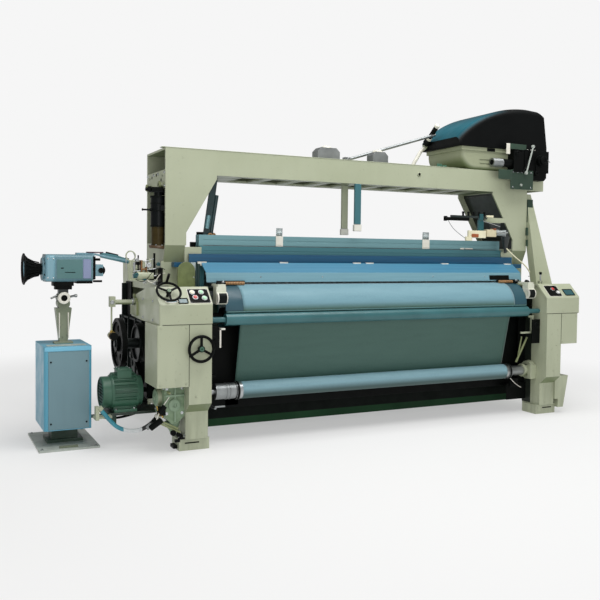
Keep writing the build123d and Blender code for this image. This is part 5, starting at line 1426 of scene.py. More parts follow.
# %% [markdown]
# The gantry's left end is open and shows its inside. Below it sit two bosses, some holes
# and the pressure can, which is clamped with rings and has a handle on its side.
# %% Gantry end and pressure can
CAN = (-1340.0, -321.0)
GANTRY_OUT = 1316.0
gear("gantry_bosses", olive, turns=[((-1330, y, 1440), TO_LEFT, boss(21, 9)) for y in (-60, -320)])
gear(
    "gantry_end_holes", slot_black,
    turns=[
        ((-GANTRY_OUT, y, z), TO_LEFT, drum(9, -1, 0.6))
        for y, z in ((-107, 1497), (-200, 1504), (-300, 1470))
    ],
    bevel_mm=0,
)
bolts("gantry_end_bolts", grid(-GANTRY_OUT, (-370, -240, -150, -20), (1432, 1508)), TO_LEFT, 7, 6)
bolts("gantry_end_bolts_right", grid(GANTRY_OUT, (-160, -100, -20), (1432, 1508)), TO_RIGHT, 7, 6)
gear("gantry_top_lip", beige, bars=[(-1336, 715, -389, -340, 1646, 1649.5)], bevel_mm=0.8)
rings = [((CAN[0], CAN[1], z), UPRIGHT, drum(r, 0, h, 38)) for z, r, h in (
    (1201, 42.5, 9), (1288, 42, 7), (1330, 42, 7), (1366, 44, 10))]
gear("can_rings", black_enamel, turns=rings)
gear("can_foot_ring", can_brown, turns=[
    (
        (CAN[0], CAN[1], 1079), (0.08, -0.05, 1),
        [(0, 30), (0, 48), (4, 51), (12, 51), (16, 48), (16, 30)],
    ),
])
gear("can_top_gear", black_enamel, bars=[
    (-1382, -1296, -352, -340, 1404, 1424), (-1398, -1380, -334, -308, 1398, 1428),
    (-1330, -1296, -300, -280, 1384, 1402),
], rods=[
    ((-1428, -331, 1296), (-1434, -331, 1296), 7), ((-1390, -321, 1412), (-1412, -321, 1412), 9),
])
gear("can_handle_nut", black_enamel, turns=[((-1380, -331, 1296), TO_LEFT, drum(9, 0, 10))])
bolts(
    "can_bolts", [(CAN[0] + 44 * cos(a), CAN[1] + 44 * sin(a), 1096) for a in (3.4, 4.2, 5.0, 5.8)],
    UPRIGHT, 4, 5,
)

# %% [markdown]
# The weft gear stands between the feeder's arm and the left gantry leg: guide eyes, a
# gripper with copper-coloured leaves, small rollers, springs and thin wires.
# %% Weft gear
gear("weft_copper_leaves", copper, bars=[
    (-1449, -1440, -372, -334, 930, 1012), (-1449, -1420, -374, -366, 956, 966),
    (-1420, -1414, -372, -340, 925, 975),
], bevel_mm=1.5)
gear("weft_black_blocks", black_enamel, bars=[
    (-1400, -1376, -376, -330, 900, 958), (-1382, -1350, -372, -340, 905, 930),
    (-1470, -1452, -356, -330, 985, 1002), (-1344, -1332, -400, -340, 880, 968),
    (-1366, -1340, -420, -360, 872, 892),
], rods=[
    ((-1458, -345, 905), (-1458, -345, 1040), 4), ((-1368, -352, 905), (-1368, -352, 1052), 6),
])
gear("weft_steel_parts", steel, bars=[
    (-1484, -1478, -350, -332, 920, 1000), (-1430, -1390, -352, -346, 966, 976),
], rods=[
    ((-1490, -362, 948), (-1330, -362, 968), 3.5), ((-1462, -372, 914), (-1360, -372, 926), 3.5),
    ((-1430, -352, 1000), (-1372, -352, 1020), 3),
], turns=[
    ((-1406, -376, 984), TO_FRONT, boss(15, 9)), ((-1466, -356, 1012), TO_FRONT, boss(10, 8)),
    ((-1372, -378, 884), TO_FRONT, boss(13, 8)), ((-1430, -380, 890), TO_FRONT, boss(10, 8)),
])
gear("weft_teal_parts", glass_teal, bars=[
    (-1492, -1462, -372, -350, 912, 936), (-1440, -1418, -378, -358, 900, 918),
], turns=[
    ((-1476, -372, 930), TO_FRONT, boss(13, 12, 0.3)), ((-1352, -376, 990), TO_FRONT, boss(11, 9)),
])
tube_curve("weft_wire_hoop", [
    (-1520, -332, 960), (-1526, -330, 1030), (-1512, -330, 1064), (-1488, -330, 1064),
    (-1470, -331, 1032), (-1472, -333, 960),
], 2.2, steel)
tube_curve("weft_wire_long", [
    (-1478, -374, 905), (-1440, -390, 880), (-1398, -400, 940), (-1350, -398, 980),
    (-1318, -390, 960),
], 1.8, rubber_black)
tube_curve("weft_tube_white", [
    (-1420, -386, 905), (-1400, -396, 880), (-1370, -398, 900), (-1345, -392, 940),
    (-1316, -388, 940),
], 2.4, nylon)
quarter = pi / 2
spring = [
    (-1356 + 7 * cos(k * quarter), -352 + 7 * sin(k * quarter), 935 + 1.6 * k) for k in range(40)
]
tube_curve("weft_spring", spring, 1.1, steel)

# %% [markdown]
# The dark cavity of the right gusset holds the selvedge gear: a comb bar with black pegs,
# a cream block with a red-brown cap, a bright rod and a hanging cone.
# %% Selvedge gear
pegs = bmesh.new()
turned(pegs, (0, 0, 0), UPRIGHT, [
    (-2, 0), (-2, 6), (3, 8), (8, 6.5), (18, 8.5), (25, 8.5), (28, 5), (28, 0),
], 16)
repeated(
    "selvedge_pegs", IN_ROW, pegs, knob_black, Count=5, Start=at(740, -408, 1330),
    Step=(0.045, 0, 0),
)
gear("selvedge_cream_block", cream, bars=[
    (772, 918, -432, -416, 1180, 1230), (748, 800, -436, -422, 1160, 1188),
    (928, 985, -428, -416, 1322, 1336),
])
gear("selvedge_red_cap", red_brown, bars=[
    (796, 848, -442, -431, 1184, 1206), (984, 1004, -436, -420, 1236, 1248),
])
gear("selvedge_teal_post", glass_teal, bars=[
    (866, 912, -416, -400, 1228, 1300), (874, 904, -420, -400, 1300, 1345),
])
gear("selvedge_lower_bar", black_enamel, bars=[
    (588, 790, -414, -400, 1294, 1316), (588, 604, -418, -396, 1290, 1322),
])
gear("selvedge_bright_rod", ground_steel, rods=[
    ((1004, -440, 1212), (1094, -446, 1222), 6), ((900, -425, 1296), (1046, -425, 1262), 3),
], turns=[((1046, -415, 1218), TO_FRONT, boss(9, 12))])
tube_curve("selvedge_wire", [
    (618, -404, 1300), (640, -404, 1262), (690, -406, 1217), (758, -414, 1176),
], 1.8, steel)
tube_curve("selvedge_tube", [
    (1100, -432, 1112), (1150, -452, 1058), (1240, -480, 992), (1264, -484, 950),
], 4.5, cream)
gear("strut_gear", base_green, bars=[
    (1318, 1366, -393, -385, 1300, 1462), (1286, 1300, -424, -410, 1206, 1262),
    (1288, 1300, -424, -412, 1130, 1176),
])
gear("leno_left_gear", black_enamel, bars=[
    (-1092, -1052, -275, -262, 1120, 1180), (-1132, -1092, -290, -262, 1060, 1120),
    (-1160, -1130, -300, -262, 1016, 1062),
])
gear("leno_left_rings", tan, turns=[
    ((-1015, -282, 1160), TO_FRONT, boss(15, 10)), ((-990, -282, 1164), TO_FRONT, boss(10, 8)),
])
gear("leno_left_sleeve", frame_pale, turns=[
    ((-1022, -256, 1240), (-0.15, 0, -1), drum(15.5, -40, 40, 13.2)),
])

# %% [markdown]
# On the left of the dobby a short black roller with white ends leans against the hood,
# and a cream elbow pipe runs over the beam's edge into a hole.
# %% Dobby's left end
ROLLER = (684, -172, 1956)
lean = Vector((0, 96, -80)).normalized()
gear("dobby_roller", rubber_black, turns=[
    (ROLLER, lean, [(8, 0), (8, 15), (20, 17), (96, 17), (108, 15), (108, 0)]),
])
gear("dobby_roller_ends", nylon, turns=[
    (ROLLER, lean, [(-12, 0), (-12, 14), (-8, 18), (7, 18), (9, 12), (9, 0)]),
    (ROLLER, lean, [(107, 0), (107, 14), (110, 19), (126, 19), (130, 14), (130, 0)]),
])
gear("dobby_roller_bulb", knob_black, turns=[
    (ROLLER, lean, [(129, 0), (129, 16), (136, 25), (156, 27), (172, 20), (178, 0)]),
])
tube_curve("dobby_elbow_pipe", [
    (706, -16, 1836), (690, -14, 1822), (660, -14, 1800), (600, -60, 1745), (560, -60, 1690),
    (556, -60, 1642),
], 13, nylon)
gear("dobby_elbow_flange", beige, turns=[
    ((556, -60, 1646), UPRIGHT, [(0, 10), (0, 24), (5, 24), (8, 20), (8, 10)]),
    ((702, -14, 1834), (1, 0, 0.6), [(-14, 10), (-14, 18), (6, 18), (8, 14), (8, 10)]),
])
gear(
    "beam_dark_hole", slot_black, turns=[((393, -387, 1588), TO_FRONT, drum(10, -1, 0.6))],
    bevel_mm=0,
)
gear("beam_hole_rim", beige, turns=[
    ((393, -387, 1588), TO_FRONT, [(-1, 10), (-1, 15), (3, 15), (5, 12), (5, 10)]),
])
gear("case_clips", motor_green, bars=[
    (536, 574, -388, -380, 1646, 1668), (580, 612, -388, -378, 1646, 1660),
])
gear("hood_lower_rim", knob_black, bars=[
    (712, 1466, -409, -402, 1799, 1808), (700, 706, -400, 20, 1799, 1808),
])
gear("hood_shoulder", hood_black, bars=[
    (1290, 1384, -330, -40, 2078, 2096), (1380, 1430, -300, -60, 2040, 2058),
], bevel_mm=6)

# %% [markdown]
# The dobby's drive hangs from the right end of the beam. It is a dark green housing with
# a silver motor, a white link rod, a mottled apron and a round cover.
# %% Dobby drive
fins = [(-6, 0), (-6, 27)]
for k in range(14):
    fins += [(-4 + 6 * k, 29.6), (-1 + 6 * k, 29.6), (0 + 6 * k, 28.4), (2 + 6 * k, 28.4)]
fins += [(80, 27), (80, 0)]
gear("drive_motor_silver", cast_silver, turns=[((1042, -425, 1700), TO_LEFT, fins)])
gear(
    "drive_motor_cap", slot_black, turns=[((962, -425, 1700), TO_LEFT, drum(18, -1, 0.8))],
    bevel_mm=0,
)
gear("drive_apron", apron_green, bars=[
    (1102, 1302, -459, -454, 1522, 1655), (996, 1104, -459, -454, 1586, 1652),
])
gear("drive_plates_black", black_enamel, bars=[
    (1122, 1202, -466, -456, 1640, 1780), (1225, 1248, -462, -456, 1660, 1800),
    (1330, 1400, -458, -452, 1655, 1700),
], turns=[
    ((1370, -480, 1730), TO_FRONT, boss(30, 16, 0.5)), ((1150, -466, 1770), TO_FRONT, boss(16, 10)),
    ((1330, -458, 1640), TO_FRONT, boss(17, 10)),
])
gear("drive_link_white", plate_grey, rods=[((1284, -474, 1822), (1226, -474, 1636), 5.5)], turns=[
    ((1284, -466, 1822), TO_FRONT, boss(11, 14)), ((1226, -466, 1636), TO_FRONT, boss(11, 14)),
    ((1190, -462, 1552), TO_FRONT, boss(9, 8)),
])
gear("drive_block_pale", apron_green, bars=[(1062, 1238, -455, -449, 1797, 1833)])
gear("drive_block_top", nylon, bars=[(1062, 1092, -458, -449, 1760, 1833)])
gear("case_dark_slot", slot_black, bars=[(942, 1010, -399, -396.6, 1776, 1798)], bevel_mm=0)
screws(
    "drive_bolts",
    [(1120 + 40 * k, -459, 1640) for k in range(5)] + [(1120, -459, 1536), (1280, -459, 1536)],
    TO_FRONT, 5, 4,
)
screws("hood_edge_studs", [(1188 + 34 * k, -409, 1806) for k in range(6)], TO_FRONT, 5, 5, nylon)
tube_curve(
    "drive_thin_rod", [(1386, -440, 1778), (1424, -448, 1752), (1462, -452, 1724)], 2.4, steel,
)
gear(
    "stay_pedestal_caps", nylon,
    turns=[((x, -190, 1738), UPRIGHT, dome(36, 20)) for x in (-196, 192)],
)
gear(
    "stay_clevis", steel, rods=[((-10, -156, 1684), (-10, -104, 1684), 8)],
    turns=[((-10, -156, 1684), TO_FRONT, boss(13, 6))],
)
bolts("pedestal_bolts", grid((-260, -132, 148, 236), -234, 1660), TO_FRONT, 6, 5)

# %% [markdown]
# The two flat posts under the beam are painted teal and beige and end in nylon shoes.
# %% Centre posts
gear("centre_post_front_cover", frame_teal, bars=[(-91.5, -48.5, -393, -375.2, 1250, 1502)])
gear("centre_post_shoe_front", nylon, bars=[(-96.5, -43.5, -394.5, -373.5, 1206, 1246)])
gear("centre_post_rear_cover", beige, bars=[(-91.5, -48.5, -225.8, -208.2, 1226, 1502)])
gear("centre_post_shoe_rear", nylon, bars=[(-96.5, -43.5, -227.6, -206.4, 1185, 1223)])

# %% [markdown]
# The feeder's cabinet is a pale blue frame round a blue-grey door with four screws. Its
# top has a grey insert with two slots, and the head above has a ribbed blue-grey side.
# %% Feeder stand
BOX_FRONT = -382.0
plate(
    "cabinet_door", rounded(-1947, -1735, 103, 521, 3), [], facing(y=BOX_FRONT), 2.2, panel_grey,
    bevel_mm=0.6,
)
screws(
    "cabinet_screws", grid((-1934, -1748), BOX_FRONT - 2.2, (135, 466)), TO_FRONT, 5, 2.5,
    knob_black,
)
plate(
    "cabinet_top_insert", rounded(-1948, -1742, -356, -292, 6),
    [rounded(x - 36, x + 36, -334, -317, 3) for x in (-1905, -1785)], facing(z=548), 2.0,
    plate_grey, bevel_mm=0.5,
)
plate(
    "cabinet_top_slots", rounded(-1944, -1746, -338, -313, 3), [], facing(z=547.6), 0.9, slot_black,
)
gear("cabinet_handle_strip", pale_blue, bars=[(-1966, -1722, -386.5, -384, 524, 546)])
boom_side = [(-1640, 1024), (-1484, 990), (-1484, 1016), (-1560, 1040), (-1640, 1053)]
plate("boom_cover", boom_side, [], facing(y=-194), 42.0, frame_teal, bevel_mm=2)
gear("boom_cap", black_enamel, rods=[
    ((-1610, -215, 1053), (-1540, -215, 1037), 5), ((-1500, -215, 1020), (-1480, -215, 1012), 8),
])
gear("motor_stay", base_green, bars=[
    (-1612, -1586, -384, -346, 108, 170), (-1640, -1560, -390, -340, 160, 170),
], bevel_mm=2)
gear("stand_foot_bar", column_cast, bars=[(-1896, -1800, -428, -412, 11, 22)])
bolts("stand_plate_bolts", grid((-1985, -1705), (-425, -5), 12), UPRIGHT, 6, 6)
gear("knuckle_ring", nylon, turns=[
    ((-1845, -254, 800), TO_FRONT, [(-1, 17), (-1, 33.5), (5, 33.5), (9, 30), (9, 17), (-1, 17)]),
])
gear(
    "knuckle_hole", slot_black, turns=[((-1845, -261, 800), TO_FRONT, drum(16.2, -1, 2))],
    body="feeder_head", bevel_mm=0,
)
gear("knuckle_levers", steel, rods=[
    ((-1880, -232, 812), (-1914, -244, 798), 5), ((-1812, -240, 806), (-1786, -250, 812), 6),
], turns=[((-1786, -250, 812), TO_RIGHT, [(-2, 0), (-2, 9), (10, 9), (12, 6), (12, 0)])])
gear("column_ribs", nylon, bars=[
    (-1872, -1866, -249, -243, 580, 720), (-1824, -1818, -249, -243, 580, 720),
])


def head(name, finish, **shapes):
    return gear(name, finish, body="feeder_head", **shapes)


plate(
    "head_side_panel", rounded(-1888, -1752, 908, 1012, 6), [], facing(y=-285), 2.0, head_panel,
    "feeder_head", 0.6,
)
plate(
    "head_side_band", rounded(-1748, -1706, 908, 1014, 6), [], facing(y=-285), 2.6, head_lavender,
    "feeder_head", 0.8,
)
head("head_end_casting", head_blue, bars=[(-1948, -1895, -292, -138, 894, 1034)], bevel_mm=12)
head("head_small_marks", slot_black, bars=[
    (-1866, -1852, -287.6, -286.5, 962, 968), (-1846, -1790, -287.4, -286.5, 940, 944),
], bevel_mm=0)
head("head_plum_strip", plum, bars=[(-1716, -1628, -240, -190, 1049, 1056)], bevel_mm=2)
head("head_under_block", black_enamel, bars=[
    (-1780, -1696, -280, -150, 880, 893), (-1902, -1792, -250, -180, 866, 893),
    (-1890, -1800, -238, -192, 846, 870),
])
head("head_fork_block", black_enamel, bars=[
    (-1697, -1676, -262, -168, 902, 1030), (-1690, -1640, -262, -258, 886, 898),
    (-1690, -1650, -262, -258, 1006, 1020),
], turns=[((-1645, -258, 952), TO_FRONT, boss(15, 8))])
for k in range(2):
    arc = [(-1949.5, -278 + 60 * k + 26 * sin(a / 4), 925 + 22 * a / 4) for a in range(13)]
    tube_curve(f"head_slot_arc_{k + 1}", arc, 2.6, slot_black, "feeder_head")
screws("head_screws", grid((-1936, -1906), -292, (912, 1016)), TO_FRONT, 4, 3, body="feeder_head")
ribs = bmesh.new()
for k in range(20):
    a = 2 * pi * k / 20
    for (x0, r0), (x1, r1) in (
        ((-1972, 37), (-2000, 43)), ((-2000, 43), (-2030, 58)), ((-2030, 58), (-2050, 80)),
    ):
        rod(
            ribs, (x0, -215 + r0 * cos(a), 958 + r0 * sin(a)),
            (x1, -215 + r1 * cos(a), 958 + r1 * sin(a)), 2.2, sides=6,
        )
piece("winder_ribs", ribs, knob_black, "winder_disc")
gear("winder_inner_cone", head_blue, turns=[
    ((-1975, -215, 958), TO_LEFT, [
        (10, 0), (10, 18), (30, 22), (52, 34), (70, 52), (72, 52), (72, 50), (54, 30), (34, 12),
        (34, 0),
    ]),
], body="winder_disc")
gear("winder_rim", knob_black, turns=[
    ((-2050, -215, 958), TO_LEFT, [(-4, 80), (-2, 86), (3, 86), (6, 82), (6, 78), (0, 78)]),
], body="winder_disc")
gear("tension_wheel_face", glass_teal, turns=[
    ((-1645, -227, 952), TO_FRONT, [
        (-1, 0), (-1, 21.5), (1, 21.5), (3, 12), (3, 6), (6, 6), (6, 0),
    ]),
], body="tension_wheel")

# %% [markdown]
# The main motor is a green finned casting. Its fins repeat round the body, so one thin
# fin is placed many times, and its end bell has a grille.
# %% Main motor and gear case
MOTOR = (-364.0, 285.0)
FIN_START, FIN_LENGTH, FIN_RADII, FINS = -1610, 122, (90, 103), 26
fins = bmesh.new()
for k in range(FINS):
    a = radians(-20 + 220 * k / (FINS - 1))
    y, z = cos(a), sin(a)
    p0, p1 = (Vector((FIN_START, MOTOR[0] + r * y, MOTOR[1] + r * z)) for r in FIN_RADII)
    side = Vector((0, -z, y)) * 1.1
    corners = [p0 - side, p0 + side, p1 + side * 0.7, p1 - side * 0.7]
    ends = [[fins.verts.new(c + Vector((dx, 0, 0))) for c in corners] for dx in (0, FIN_LENGTH)]
    for j in range(4):
        fins.faces.new((ends[0][j], ends[0][(j + 1) % 4], ends[1][(j + 1) % 4], ends[1][j]))
    fins.faces.new(ends[0])
    fins.faces.new(ends[1])
piece("motor_fins", fins, motor_green)
gear("motor_cowl_rings", motor_green, turns=[
    ((-1665, *MOTOR), TO_LEFT, [(-2, 20), (-2, 86), (4, 86), (7, 80), (7, 74), (3, 74), (3, 20)]),
    ((-1622, *MOTOR), TO_LEFT, drum(92, -6, 2, 84)),
])
grille = [
    (-1670, -1666, MOTOR[0] - w, MOTOR[0] + w, MOTOR[1] + z - 2.5, MOTOR[1] + z + 2.5)
    for z, w in ((-50, 50), (-34, 62), (-18, 70), (-2, 72), (14, 70), (30, 64), (46, 54))
]
gear("motor_grille", black_enamel, bars=grille, bevel_mm=0.6)
gear("motor_box_lid", motor_green, bars=[
    (-1594, -1508, -428, -340, 408, 415), (-1584, -1518, -418, -350, 413, 419),
], bevel_mm=3)
bolts("motor_box_bolts", grid((-1580, -1522), (-414, -354), 419), UPRIGHT, 4, 4)
bolts("motor_foot_bolts", grid((-1600, -1500), (-436, -292), 198), UPRIGHT, 7, 8)
bolts(
    "motor_bell_bolts",
    [(-1456, MOTOR[0] + 70 * cos(a), MOTOR[1] + 70 * sin(a)) for a in (0.8, 2.4, 3.9, 5.5)],
    TO_RIGHT, 5, 6,
)
gear("gear_case_cover", gear_green, turns=[
    ((-1424, -600, 280), TO_LEFT, [
        (-2, 0), (-2, 44), (6, 44), (9, 38), (9, 14), (16, 12), (16, 0),
    ]),
    (
        (-1350, -691, 250), TO_FRONT,
        [(-2, 0), (-2, 34), (6, 34), (10, 28), (10, 12), (4, 10), (4, 0)],
    ),
])
bolts("gear_case_bolts", grid(-1404, (-672, -526), (208, 336)), TO_LEFT, 6, 6)
bolts("gear_case_front_bolts", grid((-1392, -1308), -690, (206, 338)), TO_FRONT, 6, 6)
gear("gear_case_ribs", gear_green, bars=[
    (-1400, -1296, -700, -688, 296, 306), (-1352, -1344, -698, -689, 160, 345),
])
gear("gear_case_spout", gear_green, turns=[
    ((-1346, -640, 152), (0.1, 0, -1), [(-4, 0), (-4, 42), (10, 40), (48, 20), (60, 18), (60, 0)]),
])
gear("gear_case_pipes", olive, rods=[
    ((-1440, -672, 176), (-1330, -696, 122), 6), ((-1430, -680, 158), (-1320, -704, 104), 5),
    ((-1402, -640, 330), (-1380, -704, 316), 7),
])
gear("gear_case_black_parts", black_enamel, bars=[(-1430, -1400, -700, -640, 200, 240)], rods=[
    ((-1436, -700, 214), (-1404, -700, 250), 14), ((-1470, -660, 130), (-1420, -690, 175), 16),
], turns=[
    ((-1362, -706, 106), TO_FRONT, boss(15, 12)), ((-1330, -700, 92), TO_FRONT, boss(12, 12)),
])
gear("gear_case_brass_cocks", brass, rods=[
    ((-1438, -664, 246), (-1426, -676, 196), 4), ((-1420, -672, 232), (-1412, -690, 186), 5),
], turns=[((-1422, -690, 206), TO_FRONT, boss(9, 8))])
tube_curve("gear_case_wire_pale", [
    (-1300, -640, 352), (-1352, -680, 330), (-1392, -700, 280), (-1430, -700, 232),
    (-1446, -690, 180),
], 2.6, nylon)
gear("foot_front_gear", black_enamel, bars=[
    (-1330, -1186, -699, -690, 66, 74), (-1348, -1322, -704, -686, 52, 66),
], turns=[((x, -697, 84), TO_FRONT, boss(10, 9)) for x in (-1318, -1286, -1232, -1200)])
gear(
    "foot_front_pale", plate_grey, bars=[(-1300, -1206, -698, -690, 74, 92)],
    turns=[((-1259, -694, 96), TO_FRONT, boss(13, 9))],
)
gear("foot_side_blocks", black_enamel, bars=[(-1345, -1324, -660, -600, 8, 26)])

# %% [markdown]
# The outside of the left frame's rear carries oily gears and bars, which turn the beam.
# %% Let-off gears on the left frame
TOOTH_MM = 5
LET_OFF_GEARS = ((300, 400, 118, 52), (486, 300, 92, 40), (176, 262, 62, 28), (556, 550, 70, 34))


def toothed(y, z, radius, teeth):
    """A gear's outline: pairs of points by turns at the tip and at the root of a tooth."""
    points = []
    for k in range(2 * teeth):
        angle, reach = k * (pi / teeth), radius - TOOTH_MM * (k // 2 % 2)
        points.append((y + reach * cos(angle), z + reach * sin(angle)))
    return points


gear("let_off_plate", black_enamel, bars=[
    (-1304, -1292, 60, 660, 104, 640), (-1304, -1292, 440, 584, 640, 862),
])
for n, (y, z, radius, teeth) in enumerate(LET_OFF_GEARS, 1):
    out = radius * 0.55
    spots = [(y + out * cos(a), z + out * sin(a)) for a in (0.4, 1.97, 3.54, 5.11)]
    holes = [circle(*spot, radius * 0.17) for spot in spots]
    plate(
        f"let_off_gear_{n}", toothed(y, z, radius, teeth), holes, facing(x=-1305 - 3 * n), 12.0,
        gear_black, bevel_mm=0.6,
    )
    gear(f"let_off_hub_{n}", gear_black, turns=[
        ((-1300, y, z), TO_LEFT, [(0, 0), (0, 24), (40, 24), (44, 20), (44, 8), (40, 8), (40, 0)]),
    ])
gear(
    "let_off_bars", gear_black,
    bars=[
        (-1332, -1303, y, y + w, 112, top)
        for y, w, top in (
            (72, 16, 632), (226, 10, 636), (408, 12, 636), (570, 14, 850), (636, 16, 632),
        )
    ] + [(-1326, -1303, 72, 648, z, z + 12) for z in (128, 470, 622)],
)

# %% [markdown]
# Between the cloth's edges and the side frames the loom is open and mostly in shadow, with
# a few lit brackets, rods and bearing housings. Flat black sheets behind and under the
# cloth roll are painted shadow.
# %% Gear beside the cloth
gear("inner_bracket_left", nylon, bars=[
    (-1103, -1093, -700, -684, 544, 650), (-1103, -1070, -700, -684, 640, 650),
])
gear(
    "inner_bar_left", cast_silver, bars=[(-1126, -1069, -704, -692, 220, 228)],
    rods=[((-1120, -690, 214), (-1120, -620, 214), 7)],
)
gear("inner_bracket_left_dark", black_enamel, bars=[
    (-1168, -1104, -704, -690, 536, 660), (-1168, -1110, -660, -560, 380, 390),
], turns=[
    ((-1140, -704, 590), TO_FRONT, boss(20, 8)),
    ((-1165, ROLL_Y, ROLL_Z), TO_RIGHT, boss(48, 30, 0.5)),
])
gear("inner_lever_right", beige, bars=[
    (1126, 1139, -672, -650, 548, 664), (1104, 1139, -668, -654, 650, 664),
    (1036, 1139, -668, -656, 544, 556),
])
gear("inner_rods_right", olive, rods=[
    ((1112, -640, 516), (1020, -640, 352), 7), ((1074, -630, 520), (1040, -630, 360), 5),
])
gear("roll_bearing_right", beige, turns=[
    ((1106, ROLL_Y, ROLL_Z), TO_LEFT, boss(44, 12, 0.4)),
    ((1150, ROLL_Y, ROLL_Z), TO_RIGHT, [(-10, 38), (-10, 60), (19, 66), (19, 38)]),
], bars=[(1120, 1168, -672, -640, 236, 330)], bevel_mm=2)
gear("inner_dark_right", black_enamel, bars=[
    (1104, 1168, -700, -690, 480, 640), (1110, 1168, -560, -550, 190, 640),
    (980, 1040, -640, -620, 186, 240),
], turns=[((1136, -700, 600), TO_FRONT, boss(20, 8)), ((1010, -640, 214), TO_FRONT, boss(18, 10))])
tube_curve("inner_wire_right", [
    (964, -650, 250), (985, -662, 222), (1010, -664, 205), (1036, -660, 190), (1060, -650, 182),
], 1.8, nylon)
# These black sheets are painted shadow, not parts of the loom.
gear("shroud_left", black_enamel, bars=[(-1166, -920, -518, -514, 190, 640)])
gear("shroud_right", black_enamel, bars=[
    (920, 1166, -518, -514, 178, 640), (1002, 1168, -575, -571, 88, 200),
])
gear("under_roll_plate", black_enamel, bars=[(-1000, 919, -518, -514, 178, 250)])

# %% [markdown]
# Wheels and the valve get hubs, nuts and caps, so that each turning part reads as made of
# several pieces. They ride on the body that turns.
# %% Wheel hubs and caps
SHAFT_Y, SHAFT_Z = -147, 524
gear(
    "take_up_hub", motor_green, turns=[((-1237, -800, 554), TO_FRONT, boss(13, 5, 0.3))],
    body="take_up_wheel",
)
hub_spot = on_slope(-1399, 0, 40)
gear(
    "desk_wheel_hub", gear_green, turns=[(hub_spot, slope_out, boss(10, 6, 0.3))],
    body="desk_wheel",
)
gear("flywheel_hub", oiled_steel, turns=[
    ((-1540, SHAFT_Y, SHAFT_Z), TO_LEFT, [(-2, 0), (-2, 20), (4, 20), (7, 16), (7, 0)]),
], body="shaft")
gear("pulley_rings", gear_black, turns=[
    ((-1421, SHAFT_Y, SHAFT_Z), TO_LEFT, drum(108.5, -3, 1.5, 96)),
], body="shaft")
gear("valve_cap", brass, turns=[
    ((-1596, -278, 590), (0, 1, 0), [(-2, 0), (-2, 15), (5, 15), (8, 11), (8, 0)]),
    ((-1596, -300, 612), UPRIGHT, drum(9, -8, 6)),
])
gear(
    "valve_knob_ring", brass, turns=[((-1596, -333, 590), TO_FRONT, drum(23.5, -1, 7, 8))],
    body="valve_knob",
)
gear("valve_arm_gear", steel, turns=[
    ((-1596, -320, 776), TO_FRONT, boss(12, 6)),
    ((-1480, -300, 776), TO_RIGHT, drum(17.5, -3, 6, 12)),
])
gear("desk_side_gear_left", olive, bars=[(-1466, -1452, -340, -200, 700, 780)], turns=[
    ((-1456, -300, 776), TO_LEFT, boss(24, 10, 0.6)), ((-1456, -240, 740), TO_LEFT, boss(18, 9)),
    ((-1456, -262, 806), TO_LEFT, boss(14, 8)),
])
bolts("desk_side_bolts", grid(-1454, (-640, -440), (700, 800)), TO_LEFT, 6, 5)
gear("lever_knob", knob_black, turns=[
    ((1219, -640, 938), UPRIGHT, [(-2, 0), (-2, 7), (4, 9.5), (14, 9.5), (17, 6), (17, 0)]),
], body="lever")

# %% [markdown]
# Each heald frame carries its wires on two flat rods, one under the top rail and one over
# the bottom rail.
# %% Heald rods
ROD_HALF, ROD_INSET, HOOK_INSET = 1078, 67, 58
for n, top in enumerate(FRAME_TOPS, 1):
    y, bottom = FIRST_FRAME_Y + FRAME_STEP_Y * (n - 1), top - FRAME_HEIGHT
    bars = [
        (-ROD_HALF, ROD_HALF, y - 2, y + 2, z - 5, z + 5)
        for z in (top - ROD_INSET, bottom + ROD_INSET)
    ]
    bars.append((-ROD_HALF, ROD_HALF, y - 1, y + 1, top - 78, top - 58))
    hooks = [
        (x - 4, x + 4, y - 3.5, y + 3.5, z - 16, z + 16)
        for x in (-820, -410, 0, 410, 820) for z in (top - HOOK_INSET, bottom + HOOK_INSET)
    ]
    gear(f"heald_rods_{n}", cast_silver, bars=bars + hooks, body=f"heald_frame_{n}", bevel_mm=0.4)

gear("heald_white_clip", nylon, bars=[
    (766, 798, -353, -349.5, 1101, 1112), (808, 872, -353, -349.5, 1103, 1111),
], body="heald_frame_2", bevel_mm=0.5)

# %% [markdown]
# The floor is one pale sheet. Far from the loom it turns into plain light of the same
# value as the world behind, so no horizon shows, and near the loom it keeps the shadow.
# The world lights everything evenly, and two large soft lamps give the shapes their form.
# %% Floor, world and lamps
PALE = "f6f6f6"
WORLD_LIGHT = 0.35
FADE_FROM_M, FADE_TO_M, LEAST_PLAIN = 2.2, 4.2, 0.45
FLOOR_HALF_M = 30.0


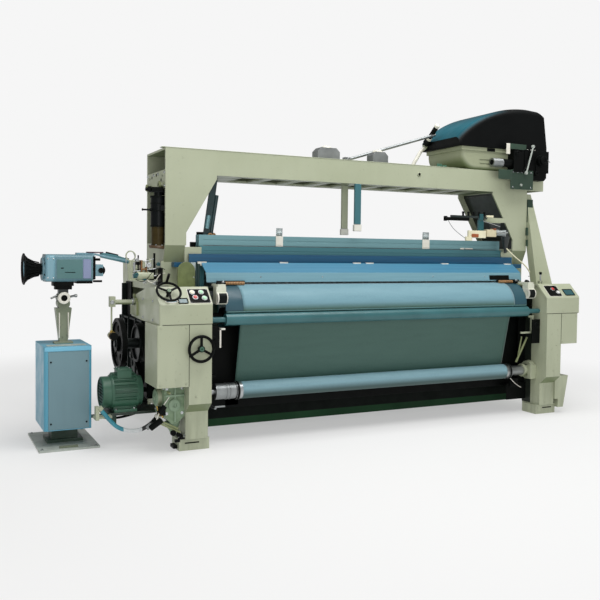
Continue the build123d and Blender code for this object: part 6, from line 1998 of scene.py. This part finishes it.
def studio():
    mesh = bmesh.new()
    bmesh.ops.create_grid(mesh, x_segments=1, y_segments=1, size=FLOOR_HALF_M)
    data = bpy.data.meshes.new("floor")
    mesh.to_mesh(data)
    mesh.free()
    floor = bpy.data.objects.new("floor", data)
    bpy.context.scene.collection.objects.link(floor)
    finish = bpy.data.materials.new("pale_studio_floor")
    finish.use_nodes = True
    tree = finish.node_tree
    tree.nodes.clear()
    place = add(tree, "ShaderNodeTexCoord").outputs["Object"]
    far = add(tree, "ShaderNodeVectorMath", {0: place}, operation="LENGTH")
    limits = {"From Min": FADE_FROM_M, "From Max": FADE_TO_M, "To Min": LEAST_PLAIN}
    limits["Value"] = far.outputs["Value"]
    fade = add(tree, "ShaderNodeMapRange", limits, interpolation_type="SMOOTHSTEP")
    matt = add(tree, "ShaderNodeBsdfDiffuse", {"Color": colour("f0f0ef")})
    plain = add(tree, "ShaderNodeEmission", {"Color": colour(PALE)})
    mix = add(tree, "ShaderNodeMixShader", {0: fade, 1: matt, 2: plain})
    add(tree, "ShaderNodeOutputMaterial", {"Surface": mix})
    data.materials.append(finish)


def world():
    sky = bpy.data.worlds.new("studio")
    bpy.context.scene.world = sky
    sky.use_nodes = True
    tree = sky.node_tree
    tree.nodes.clear()
    ray = add(tree, "ShaderNodeLightPath")
    rays = {0: ray.outputs["Is Camera Ray"], 1: ray.outputs["Is Transmission Ray"]}
    seen = add(tree, "ShaderNodeMath", rays, operation="MAXIMUM")
    white_light = {"Color": (1.0, 1.0, 1.0, 1.0), "Strength": WORLD_LIGHT}
    light = add(tree, "ShaderNodeBackground", white_light)
    behind = add(tree, "ShaderNodeBackground", {"Color": colour(PALE), "Strength": 1.0})
    mix = add(tree, "ShaderNodeMixShader", {0: seen, 1: light, 2: behind})
    add(tree, "ShaderNodeOutputWorld", {"Surface": mix})


def lamp(name, place, aim, width, depth, watts):
    light = bpy.data.lights.new(name, "AREA")
    light.shape = "RECTANGLE"
    light.size = width
    light.size_y = depth
    light.energy = watts
    made = bpy.data.objects.new(name, light)
    made.location = place
    made.rotation_euler = (Vector(aim) - Vector(place)).to_track_quat("-Z", "Y").to_euler()
    bpy.context.scene.collection.objects.link(made)


studio()
world()
lamp("top", (0.6, -1.6, 5.4), (0.3, 0.2, 0.6), 4.6, 3.6, 250)
lamp("front", (-1.2, -6.4, 2.2), (0.1, 0.0, 0.8), 3.6, 2.4, 72)
bpy.context.scene.view_settings.view_transform = "Standard"
